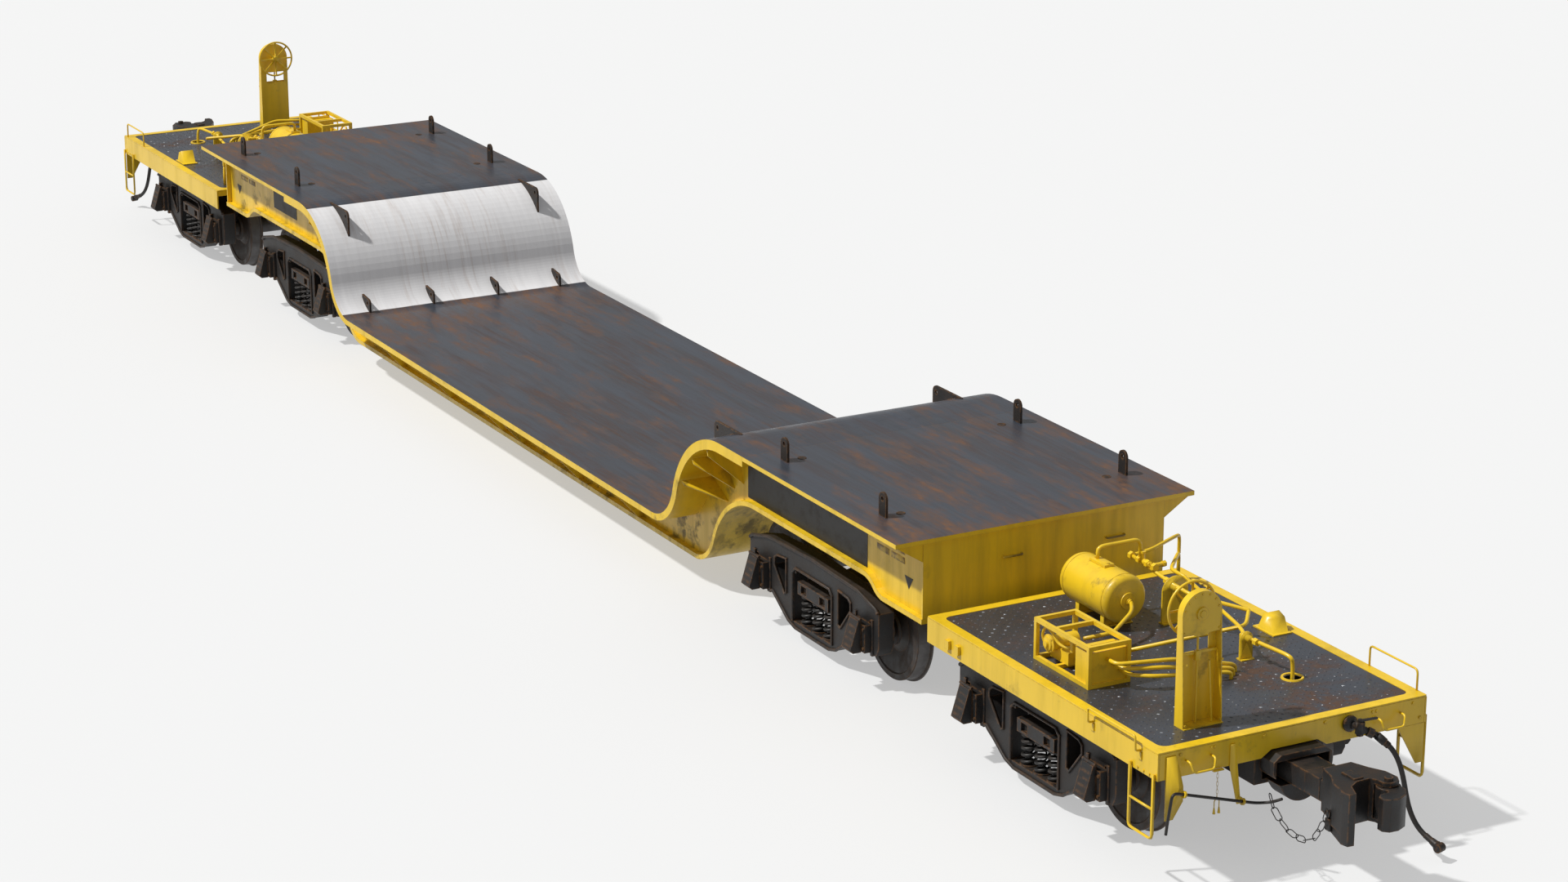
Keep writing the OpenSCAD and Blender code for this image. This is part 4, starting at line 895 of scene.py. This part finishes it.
class FLATCAR_OT_platforms(bpy.types.Operator):
    """Finishes the platform frames, their tread plates with raised lugs, and the irons round them"""

    bl_idname = "flatcar.platforms"
    bl_label = "End platforms"

    def execute(self, context):
        for end in ENDS:
            body = end + "_span"
            softened(end + "_platform_frame", sizes().plate_edge, body, *PAINTED)
            softened(end + "_safety_irons", 0.0, body, *PAINTED, 50.0)
            dress("tread_plate", end + "_tread_plate")
            self.add_lugs(end, body)
            self.add_fittings(end, body)
        return {"FINISHED"}

    def add_lugs(self, end, body):
        """Small raised lozenges, turned one way and the other in turn."""
        low, high = low_high(end + "_tread_plate")
        pitch = sizes().lug_pitch
        half = Vector((sizes().lug_length / 2, sizes().lug_width / 2, 0.0))
        height = sizes().lug_height
        shape = bmesh.new()
        rows = int((high.y - low.y - 0.03) / pitch)
        columns = int((high.x - low.x - 0.03) / pitch)
        for row in range(rows):
            for column in range(columns):
                x = low.x + 0.04 + column * pitch
                y = low.y + 0.04 + row * pitch
                if math.hypot(x - HOLE[0], y - HOLE[1]) < HOLE_CLEAR:
                    continue
                turn = Matrix.Rotation(math.radians(45 if (row + column) % 2 else -45), 4, "Z")
                place = Matrix.Translation((x, y, TREAD_TOP)) @ turn
                foot = [shape.verts.new(place @ Vector(corner)) for corner in
                        ((-half.x, 0, 0), (0, -half.y, 0), (half.x, 0, 0), (0, half.y, 0))]
                top = [shape.verts.new(place @ Vector((share * half.x * 0.55, 0, height)))
                       for share in (-1, 1)]
                for corners in ((foot[0], foot[1], top[0]), (foot[1], foot[2], top[1]),
                                (foot[2], foot[3], top[1]), (foot[3], foot[0], top[0]),
                                (top[0], foot[1], top[1]), (top[1], foot[3], top[0])):
                    shape.faces.new(corners)
        end_piece(end + "_tread_lugs", shape, body, "tread_steel", "tread_lugs", 20.0)

    def add_fittings(self, end, body):
        """Bolt heads, the collar of the pipe hole and the small release chain."""
        shape = bmesh.new()
        x = PLATFORM_END
        for y, z in ((-1.12, 1.00), (-1.05, 1.06), (-0.74, 1.062), (-0.565, 1.03), (-0.28, 1.062),
                     (0.28, 1.062), (0.73, 1.062), (1.12, 1.06), (1.19, 0.93)):
            bolt(shape, (x, y, z), (1, 0, 0), 0.024)
        for x_step in range(5):
            for side in (-1, 1):
                bolt(shape, (x - 0.34 + 0.078 * x_step, side * PLATFORM_Y, 0.905), (0, side, 0), 0.020)
        ring = lathe([(0.0, 0.072), (0.010, 0.072), (0.012, 0.075), (0.012, 0.090), (0.0, 0.094),
                      (0.0, 0.072)], (*HOLE, TREAD_TOP), (0, 0, 1), 48)
        join_shape(shape, ring)
        end_piece(end + "_platform_fittings", shape, body, *PAINTED)
        shape = bmesh.new()
        chain(shape, [(x + 0.012, -0.713, 0.872), (x + 0.014, -0.713, 0.65)], 0.038, 0.017, 0.0028)
        for y in (-0.735, -0.690):
            tube(shape, [(x + 0.013, -0.713, 0.655), (x + 0.013, y, 0.62), (x + 0.013, y, 0.56)], 0.004)
            rod(shape, (x + 0.013, y, 0.565), (x + 0.013, y, 0.520), 0.006, 12, 0.012)
        block(shape, (x, -0.76, 0.868), (x + 0.030, -0.665, 0.880), 0.002)
        end_piece(end + "_release_chain", shape, body, *PAINTED)


def chain(shape, route, link_length, link_width, wire):
    """Adds the links of a chain along a route, each turned a quarter against the last."""
    line = smooth_line(route, 24) if len(route) > 2 else [Vector(point) for point in route]
    lengths = [(after - before).length for before, after in zip(line, line[1:])]
    pitch = link_length - 2 * wire
    count = max(1, round(sum(lengths) / pitch))
    pitch = sum(lengths) / count
    for link in range(count):
        start, stop = (point_along(line, lengths, place * pitch) for place in (link, link + 1))
        along = (stop - start).normalized()
        side = along.cross(Vector((0.25, 1.0, 0.1))).normalized()
        if link % 2:
            side = along.cross(side).normalized()
        half, reach = link_width / 2 - wire / 2, pitch / 2 + wire * 0.5
        middle = (start + stop) / 2
        points = []
        for step in range(16):
            angle = math.tau * step / 16
            straight = math.copysign(reach - half, math.cos(angle))
            points.append(middle + along * (half * math.cos(angle) + straight)
                          + side * half * math.sin(angle))
        tube(shape, points, wire / 2, True, 1)


def point_along(line, lengths, distance):
    """The point at a distance along a line of points."""
    for index, length in enumerate(lengths):
        if distance <= length:
            return line[index].lerp(line[index + 1], distance / length)
        distance -= length
    return line[-1]


# ---------- hand brakes ----------

STAND_Y = -0.645
STAND_X = 11.262
BRAKE_WHEEL_Z = 1.995
STAND_BOLT_RING = 0.155


class FLATCAR_OT_hand_brakes(bpy.types.Operator):
    """Finishes the brake stands and wheels, and adds their bolts, rods and hub caps"""

    bl_idname = "flatcar.hand_brakes"
    bl_label = "Hand brakes"

    def execute(self, context):
        for end in ENDS:
            body = end + "_span"
            softened(end + "_brake_stand", 0.0025, body, *PAINTED)
            softened(end + "_brake_wheel", 0.0, end + "_brake_wheel_body", *PAINTED, 50.0)
            self.add_stand_details(end, body)
        return {"FINISHED"}

    def add_stand_details(self, end, body):
        shape = bmesh.new()
        back, middle, hub = STAND_X, STAND_Y, BRAKE_WHEEL_Z
        front = back + 0.068
        for angle in range(15, 180, 25):
            y = middle + STAND_BOLT_RING * math.cos(math.radians(angle))
            z = hub + STAND_BOLT_RING * math.sin(math.radians(angle))
            bolt(shape, (front, y, z), (1, 0, 0), 0.016)
        for y in (middle - 0.16, middle + 0.16):
            bolt(shape, (front, y, 1.86), (1, 0, 0), 0.016)
            bolt(shape, (back + 0.118, y, TREAD_TOP + 0.03), (1, 0, 0), 0.020)
            bolt(shape, (back + 0.118, y, 1.62), (1, 0, 0), 0.018)
        rod(shape, (back + 0.048, middle - 0.02, 1.60), (back + 0.048, middle - 0.02, 1.93), 0.006)
        block(shape, (back + 0.030, middle - 0.045, 1.62), (back + 0.066, middle + 0.005, 1.70), 0.003)
        block(shape, (back + 0.036, middle - 0.165, 1.665), (back + 0.042, middle + 0.165, 1.690), 0.001)
        tube(shape, [(back + 0.09, middle + 0.10, 1.115), (back + 0.09, middle + 0.06, 1.62)], 0.009)
        rod(shape, (front - 0.002, middle, hub), (front + 0.012, middle, hub), 0.052, 32)
        rod(shape, (front + 0.010, middle, hub), (front + 0.018, middle, hub), 0.028, 24)
        end_piece(end + "_stand_details", shape, body, *PAINTED)


# ---------- air brake ----------

TANK_START = Vector((8.625, 0.0, 1.358))
TANK_RADIUS = 0.205
TANK_LENGTH = 0.760
CLUSTER = (0.42, 1.50)
COCK_FLANGE = (0.507, 1.014)


class FLATCAR_OT_air_reservoirs(bpy.types.Operator):
    """Spins the air reservoirs with their dished ends and seams, and sets them on their saddles"""

    bl_idname = "flatcar.air_reservoirs"
    bl_label = "Air reservoirs"

    def execute(self, context):
        for end in ENDS:
            shape = lathe(self.outline(), TANK_START, (1, 0, 0), 96)
            stop = TANK_START.x + TANK_LENGTH
            join_shape(shape, lathe([(0.0, 0.0), (0.0, 0.072), (0.010, 0.070), (0.012, 0.0)],
                                    (stop - 0.001, 0, TANK_START.z), (1, 0, 0), 48))
            rod(shape, (stop + 0.010, 0, TANK_START.z), (stop + 0.026, 0, TANK_START.z), 0.030, 6)
            rod(shape, (stop + 0.024, 0, TANK_START.z), (stop + 0.046, 0, TANK_START.z), 0.022, 24)
            pad = TANK_START.z + TANK_RADIUS
            block(shape, (8.875, -0.048, pad - 0.012), (9.105, 0.048, pad + 0.020), 0.004)
            for x in (8.895, 9.085):
                bolt(shape, (x, 0.0, pad + 0.020), (0, 0, 1), 0.022)
            for x in (8.815, 9.185):
                self.add_saddle(shape, x)
            made = end_piece(end + "_reservoir", shape, end + "_span", *PAINTED, 30.0)
            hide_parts(end + "_air_reservoir")
        return {"FINISHED"}

    def outline(self):
        """The tank's half outline: dished ends, rounded knuckles and a raised seam at each end."""
        dish, knuckle, seam = 0.075, 0.055, 0.0035
        flat = TANK_RADIUS - knuckle
        bulge = dish - knuckle
        start = [(bulge * (step / 6) ** 2, flat * step / 6) for step in range(6)]
        start += [(bulge + knuckle - knuckle * math.cos(math.radians(angle)),
                   flat + knuckle * math.sin(math.radians(angle))) for angle in range(0, 91, 15)]
        start += [(dish + 0.010, TANK_RADIUS), (dish + 0.012, TANK_RADIUS + seam),
                  (dish + 0.024, TANK_RADIUS + seam), (dish + 0.026, TANK_RADIUS)]
        stop = [(TANK_LENGTH - along, radius) for along, radius in reversed(start)]
        return start + stop

    def add_saddle(self, shape, x):
        block(shape, (x, -0.150, TREAD_TOP), (x + 0.060, 0.150, TREAD_TOP + 0.012), 0.003)
        for side in (-1, 1):
            inner, outer = sorted((side * 0.125, side * 0.135))
            block(shape, (x + 0.004, inner, TREAD_TOP), (x + 0.056, outer, TANK_START.z - 0.13), 0.002)
            bolt(shape, (x + 0.030, side * 0.105, TREAD_TOP + 0.012), (0, 0, 1), 0.022)
        block(shape, (x + 0.024, -0.13, TREAD_TOP), (x + 0.036, 0.13, TANK_START.z - 0.165), 0.002)


class FLATCAR_OT_brake_pipes(bpy.types.Operator):
    """Finishes the valve crates, pipes and cocks, and adds their flanges, nuts and small pipes"""

    bl_idname = "flatcar.brake_pipes"
    bl_label = "Brake pipes"

    def execute(self, context):
        for end in ENDS:
            body = end + "_span"
            sign = 1 if end == "b" else -1
            softened(end + "_valve_crate", 0.0025, body, *PAINTED)
            softened(end + "_brake_pipes", 0.0, body, *PAINTED, 35.0,
                     keep=lambda place: sign * place.x < PLATFORM_END, name=end + "_pipes_finished")
            softened(end + "_brake_pipes", 0.0, body, "black_iron", "coupler_casting", 50.0,
                     keep=lambda place: sign * place.x > PLATFORM_END, name=end + "_cock_finished")
            softened(end + "_cock_handle", 0.003, end + "_cock_handle_body", *IRON)
            self.add_valves(end, body)
            self.add_cock_details(end, body)
        return {"FINISHED"}

    def add_valves(self, end, body):
        shape = bmesh.new()
        valve = (9.700, -0.945, 1.270)
        join_shape(shape, lathe([(0.0, 0.0), (0.0, 0.074), (0.014, 0.076), (0.018, 0.060), (0.030, 0.055),
                                 (0.034, 0.030), (0.050, 0.026), (0.052, 0.0)], valve, (0, -1, 0), 40))
        for angle in range(45, 360, 90):
            turn = math.radians(angle)
            x, z = valve[0] + 0.062 * math.cos(turn), valve[2] + 0.062 * math.sin(turn)
            bolt(shape, (x, valve[1] - 0.014, z), (0, -1, 0), 0.018)
        loop = [(9.640, -0.93, 1.20), (9.600, -0.95, 1.30), (9.640, -0.95, 1.385), (9.730, -0.95, 1.375),
                (9.800, -0.93, 1.300), (9.890, -0.90, 1.285), (9.950, -0.88, 1.330)]
        tube(shape, smooth_line(loop, 6), 0.012)
        rod(shape, (9.93, -0.88, 1.26), (9.93, -0.88, 1.345), 0.022, 20)
        rod(shape, (9.93, -0.88, 1.34), (9.93, -0.88, 1.365), 0.032, 6)
        for x in (10.20, 10.245):
            block(shape, (x, -0.96, 1.392), (x + 0.012, -0.645, 1.412), 0.002)
        for x, y, z in ((9.48, 0.42, 1.421), (9.30, 0.42, 1.44), (10.31, 0.47, 1.285), (10.47, 0.478, 1.285)):
            rod(shape, (x, y, z), (x + 0.045, y, z), 0.031, 6)
        self.add_cluster(shape)
        end_piece(end + "_valves", shape, body, *PAINTED, 30.0)

    def add_cluster(self, shape):
        """The cocks and cross pipe beside the reservoir's top."""
        y, z = CLUSTER
        for x in (8.78, 8.90, 9.02, 9.12):
            rod(shape, (x, y, z), (x + 0.040, y, z), 0.034, 6)
        rod(shape, (8.96, y, z), (8.96, y, z + 0.075), 0.020, 20)
        rod(shape, (8.96, y, z + 0.070), (8.96, y, z + 0.086), 0.030, 6)
        rod(shape, (9.10, y, z), (9.10, y + 0.11, z), 0.018, 20)
        rod(shape, (9.10, y + 0.10, z), (9.10, y + 0.13, z), 0.028, 6)
        route = bent_line([(8.80, 0.44, 1.50), (8.80, 0.62, 1.52), (8.62, 0.98, 1.52), (8.56, 1.06, 1.50),
                           (8.56, 1.06, 1.34)], 0.06)
        tube(shape, route, 0.016)

    def add_cock_details(self, end, body):
        shape = bmesh.new()
        x, (y, z) = PLATFORM_END, COCK_FLANGE
        join_shape(shape, lathe([(0.0, 0.0), (0.0, 0.066), (0.012, 0.066), (0.015, 0.058), (0.028, 0.044),
                                 (0.034, 0.030), (0.034, 0.0)], (x + 0.012, y, z), (1, 0, 0), 40))
        for angle in range(30, 360, 120):
            turn = math.radians(angle)
            bolt(shape, (x + 0.022, y + 0.055 * math.cos(turn), z + 0.055 * math.sin(turn)), (1, 0, 0), 0.020)
        rod(shape, (x + 0.100, 0.538, 0.940), (x + 0.100, 0.538, 0.962), 0.030, 6)
        rod(shape, (x + 0.130, 0.590, 0.975), (x + 0.150, 0.628, 0.953), 0.040, 8)
        end_piece(end + "_cock_details", shape, body, "black_iron", "coupler_casting", 30.0)


# ---------- air hoses ----------

HOSE_DIAMETER = 0.042
HOSE_ROUTE = (
    (11.876, 0.713, 0.881), (11.895, 0.745, 0.847), (11.913, 0.774, 0.803), (11.929, 0.797, 0.752),
    (11.943, 0.814, 0.698), (11.955, 0.827, 0.642), (11.966, 0.837, 0.585), (11.976, 0.845, 0.528),
    (11.987, 0.852, 0.471), (12.000, 0.859, 0.415), (12.017, 0.867, 0.360), (12.040, 0.876, 0.308),
    (12.070, 0.887, 0.260), (12.108, 0.900, 0.218), (12.153, 0.915, 0.184), (12.204, 0.930, 0.160))


class FLATCAR_OT_air_hoses(bpy.types.Operator):
    """Hangs the air hoses from their cocks, with their clamps and end couplings"""

    bl_idname = "flatcar.air_hoses"
    bl_label = "Air hoses"

    def execute(self, context):
        for end in ENDS:
            body = end + "_span"
            turn = Matrix.Rotation(math.pi if end == "a" else 0.0, 4, "Z")
            route = [turn @ point for point in smooth_line(HOSE_ROUTE, 5)]
            hose = piece_of_mesh(end + "_hose", tube_mesh(route, HOSE_DIAMETER / 2, False, 5), body,
                                 "hose_rubber", 50.0)
            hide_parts(end + "_air_hose")
            coupling = self.add_coupling(end, body, [Vector(point) for point in HOSE_ROUTE])
        return {"FINISHED"}

    def add_coupling(self, end, body, route):
        """Clamps at both ends of the hose, and the coupling head with its seal face and lip."""
        tip, along = route[-1], (route[-1] - route[-2]).normalized()
        side = along.cross(Vector((0, 0, 1))).normalized()
        shape = bmesh.new()
        rod(shape, tip - along * 0.045, tip + along * 0.030, 0.0245, 32)
        rod(shape, tip + along * 0.020, tip + along * 0.075, 0.028, 24, 0.034)
        rod(shape, tip + along * 0.070, tip + along * 0.096, 0.038, 24, 0.034)
        head = tip + along * 0.104
        rod(shape, head - side * 0.034, head + side * 0.034, 0.036, 32)
        rod(shape, head - side * 0.040, head - side * 0.030, 0.026, 32)
        rod(shape, head + side * 0.005, head + side * 0.005 + along * 0.036, 0.014, 12)
        made = end_piece(end + "_hose_end", shape, body, *COUPLER_CAST, 40.0)
        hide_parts(end + "_hose_coupling")
        shape = bmesh.new()
        start, away = route[0], (route[1] - route[0]).normalized()
        rod(shape, start - away * 0.002, start + away * 0.040, 0.0255, 32)
        for gap in (0.008, 0.026):
            rod(shape, start + away * gap, start + away * (gap + 0.010), 0.028, 32)
        end_piece(end + "_hose_clamp", shape, body, *COUPLER_CAST, 40.0)
        return made


# ---------- couplers ----------

CHAIN_Y = -0.250
CHAIN_ROUTE = tuple((x, CHAIN_Y, z) for x, z in (
    (11.733, 0.600), (11.800, 0.490), (11.950, 0.405), (12.127, 0.381), (12.300, 0.450), (12.400, 0.600),
    (12.450, 0.740)))


class FLATCAR_OT_couplers(bpy.types.Operator):
    """Finishes the couplers, knuckles, cut levers and their chains, and the span bolsters"""

    bl_idname = "flatcar.couplers"
    bl_label = "Couplers"

    def execute(self, context):
        edge = sizes().casting_edge
        for end in ENDS:
            span, coupler = end + "_span", end + "_coupler_body"
            softened(end + "_coupler", edge, coupler, *COUPLER_CAST, 40.0, 3)
            softened(end + "_knuckle", edge, end + "_knuckle_body", *COUPLER_CAST, 40.0, 3)
            softened(end + "_cut_lever", 0.0, end + "_cut_lever_body", *IRON, 50.0)
            softened(end + "_span_bolster", 0.005, span, "yellow_paint", "truck_casting")
            self.add_head_details(end, coupler)
            self.add_lever_chain(end, span, coupler)
        return {"FINISHED"}

    def add_head_details(self, end, body):
        shape = bmesh.new()
        block(shape, (12.00, -0.134, 0.700), (12.19, 0.134, 0.868), 0.004)
        rod(shape, (12.630, 0.165, 0.958), (12.630, 0.165, 0.985), 0.034, 24)
        block(shape, (12.36, -0.070, 0.955), (12.52, 0.020, 0.975), 0.006)
        rod(shape, (12.44, -0.240, 0.700), (12.44, -0.205, 0.700), 0.028, 20)
        block(shape, (12.40, -0.236, 0.56), (12.47, -0.190, 0.66), 0.010)
        end_piece(end + "_head_details", shape, body, *COUPLER_CAST, 40.0)

    def add_lever_chain(self, end, span, coupler):
        shape = bmesh.new()
        chain(shape, CHAIN_ROUTE, 0.130, 0.060, sizes().chain_wire)
        made = end_piece(end + "_lever_chain", shape, None, *IRON, 50.0)
        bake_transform(made)


# ---------- trucks ----------


HALF_BASE = 0.915
FRAME_FACE = 1.096
LID_FACE = 1.165
AXLE_Z = 0.482
SHOE_RADIUS = 0.492
SPRING_Y = 1.013
SPRING_PLACES = (-0.20, 0.0, 0.20)


def truck_middle(truck):
    """The place of a truck's centre along the car, at the B end's side."""
    place = JOINTS[truck + "_truck_swivel"]["pos_m"]
    return abs(place[0])


def both_ways(points, middle=()):
    """A line that is the same on both sides of a truck's centre, from points on one side."""
    return [*((-x, z) for x, z in points), *middle, *reversed(points)]


class FLATCAR_OT_trucks(bpy.types.Operator):
    """Finishes the trucks' castings, and adds ribs, lid hinges, brake beams and shoes"""

    bl_idname = "flatcar.trucks"
    bl_label = "Trucks"

    def execute(self, context):
        for truck in TRUCKS:
            frames = truck + "_frames_body"
            softened(truck + "_side_frames", 0.008, frames, *TRUCK_CAST)
            softened(truck + "_bolster", 0.010, truck + "_bolster_body", *TRUCK_CAST)
            self.add_ribs(truck, frames)
            self.add_brake_beams(truck, frames)
            dress("wheel_steel", truck + "_wheelset_1", truck + "_wheelset_2")
        return {"FINISHED"}

    def add_ribs(self, truck, body):
        """Cast lips along the chords and round the windows, lid hinges and box bolts."""
        middle = truck_middle(truck)
        shape = bmesh.new()
        top = both_ways([(1.15, 0.742), (1.11, 0.772), (0.80, 0.846)], [(0.0, 0.876)])
        bottom = both_ways([(0.80, 0.340), (0.72, 0.360), (0.43, 0.174), (0.30, 0.139)])
        opening = both_ways([(0.35, 0.195), (0.35, 0.650), (0.30, 0.700)])
        window = [(0.470, 0.738), (0.640, 0.722), (0.685, 0.690), (0.690, 0.620), (0.505, 0.402),
                  (0.470, 0.420)]
        for side in (-1, 1):
            face = side * FRAME_FACE
            for line, radius in ((top, 0.017), (bottom, 0.015)):
                tube(shape, [(middle + x, face, z) for x, z in line], radius, False, 3)
            tube(shape, [(middle + x * 1.02, face, z) for x, z in opening], 0.013, False, 3)
            for hand in (-1, 1):
                tube(shape, [(middle + hand * x, face, z) for x, z in window], 0.012, True, 3)
                box = middle + hand * HALF_BASE
                rod(shape, (box - 0.09, side * 1.178, 0.655), (box + 0.09, side * 1.178, 0.655), 0.014, 16)
                for x, z in ((-0.115, 0.40), (0.115, 0.40), (-0.115, 0.57), (0.115, 0.57)):
                    bolt(shape, (box + x, side * LID_FACE, z), (0, side, 0), 0.026)
                for near, far in ((-0.16, -0.125), (0.125, 0.16)):
                    block(shape, (box + near, side * 1.095 - 0.012, 0.330),
                          (box + far, side * 1.095 + 0.030, 0.66), 0.005)
            for x in SPRING_PLACES:
                seat = [(0.0, 0.0), (0.0, 0.078), (0.010, 0.078), (0.014, 0.050), (0.014, 0.0)]
                join_shape(shape, lathe(seat, (middle + x, side * SPRING_Y, 0.1945), (0, 0, 1), 32))
        end_piece(truck + "_frame_details", shape, body, *TRUCK_CAST, 40.0)

    def add_brake_beams(self, truck, body):
        """A beam inside each axle of the truck, with a shoe at each wheel."""
        middle = truck_middle(truck)
        shape = bmesh.new()
        for hand in (-1, 1):
            near = middle + hand * (HALF_BASE - 0.515)
            block(shape, (near - 0.030, -0.80, 0.385), (near + 0.030, 0.80, 0.415), 0.006)
            tube(shape, [(near, -0.74, 0.40), (near - hand * 0.13, 0.0, 0.40), (near, 0.74, 0.40)], 0.018)
            rod(shape, (near, 0, 0.40), (near - hand * 0.13, 0, 0.40), 0.020)
            for side in (-1, 1):
                self.add_shoe(shape, middle + hand * HALF_BASE, -hand, side * 0.745)
        end_piece(truck + "_brake_beams", shape, body, *TRUCK_CAST, 40.0)

    def add_shoe(self, shape, axle, hand, y):
        """A curved shoe of short blocks, 15 mm off the wheel's tread."""
        for step in range(7):
            angle = math.radians(-28 + 6 * step)
            place = Vector((axle + hand * SHOE_RADIUS * math.cos(angle), y,
                            AXLE_Z + SHOE_RADIUS * math.sin(angle)))
            turn = Matrix.Translation(place) @ Matrix.Rotation(-hand * angle, 4, "Y")
            size = Matrix.Diagonal((0.040, 0.085, 0.056, 1.0))
            bmesh.ops.create_cube(shape, size=1.0, matrix=turn @ size)


class FLATCAR_OT_springs(bpy.types.Operator):
    """Winds the trucks' coil springs"""

    bl_idname = "flatcar.springs"
    bl_label = "Springs"

    def execute(self, context):
        for truck in TRUCKS:
            self.add_springs(truck)
        return {"FINISHED"}

    def add_springs(self, truck):
        low, high = low_high(truck + "_springs")
        middle, travel = truck_middle(truck), JOINTS[truck + "_suspension"]["range_m"][1]
        shape = bmesh.new()
        for side in (-1, 1):
            for x in SPRING_PLACES:
                foot = Vector((middle + x, side * SPRING_Y, low.z))
                coil(shape, foot, high.z - low.z, 0.070, sizes().spring_wire, 5.2)
                coil(shape, foot, high.z - low.z, 0.036, 0.55 * sizes().spring_wire, 7.0)
        made = end_piece(truck + "_coil_springs", shape, truck + "_frames_body", "spring_steel",
                         "spring_black", 50.0)
        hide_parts(truck + "_springs")
        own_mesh(made)


def coil(shape, foot, height, radius, wire, turns, steps=22):
    """A coil spring with closed ends that stands on foot."""
    centre = radius - wire / 2
    points = []
    for step in range(int(turns * steps) + 1):
        share = step / (turns * steps)
        eased = min(1.0, max(0.0, (share - 0.09) / 0.82))
        angle = math.tau * turns * share
        rise = wire / 2 + (height - wire) * (0.93 * eased + 0.07 * share)
        points.append(foot + Vector((centre * math.cos(angle), centre * math.sin(angle), rise)))
    tube(shape, points, wire / 2, False, 2)


# ---------- order of work ----------

OPERATORS = (
    FLATCAR_OT_stage, FLATCAR_OT_air_hoses, FLATCAR_OT_car_body, FLATCAR_OT_markings, FLATCAR_OT_platforms,
    FLATCAR_OT_hand_brakes, FLATCAR_OT_air_reservoirs, FLATCAR_OT_brake_pipes, FLATCAR_OT_couplers,
    FLATCAR_OT_trucks, FLATCAR_OT_springs)
GROUPS_OF_SETTINGS = (FlatcarPaint, FlatcarSizes, FlatcarLight)


class FLATCAR_PT_steps(bpy.types.Panel):
    """Lists the steps and the settings"""

    bl_label = "Flat Car"
    bl_idname = "FLATCAR_PT_steps"
    bl_space_type = "VIEW_3D"
    bl_region_type = "UI"
    bl_category = "Flat Car"

    def draw(self, context):
        for step in OPERATORS:
            self.layout.operator(step.bl_idname)
        for settings in (paint(), sizes(), light()):
            box = self.layout.box()
            for name in settings.__annotations__:
                box.prop(settings, name)


CLASSES = (*GROUPS_OF_SETTINGS, *OPERATORS, FLATCAR_PT_steps)


def register():
    for made in CLASSES:
        bpy.utils.register_class(made)
    bpy.types.Scene.flatcar_paint = bpy.props.PointerProperty(type=FlatcarPaint)
    bpy.types.Scene.flatcar_sizes = bpy.props.PointerProperty(type=FlatcarSizes)
    bpy.types.Scene.flatcar_light = bpy.props.PointerProperty(type=FlatcarLight)


def unregister():
    for name in ("flatcar_light", "flatcar_sizes", "flatcar_paint"):
        delattr(bpy.types.Scene, name)
    for made in reversed(CLASSES):
        bpy.utils.unregister_class(made)


def main():
    register()
    for step in OPERATORS:
        getattr(bpy.ops.flatcar, step.bl_idname.split(".")[1])()


if __name__ == "__main__":
    main()
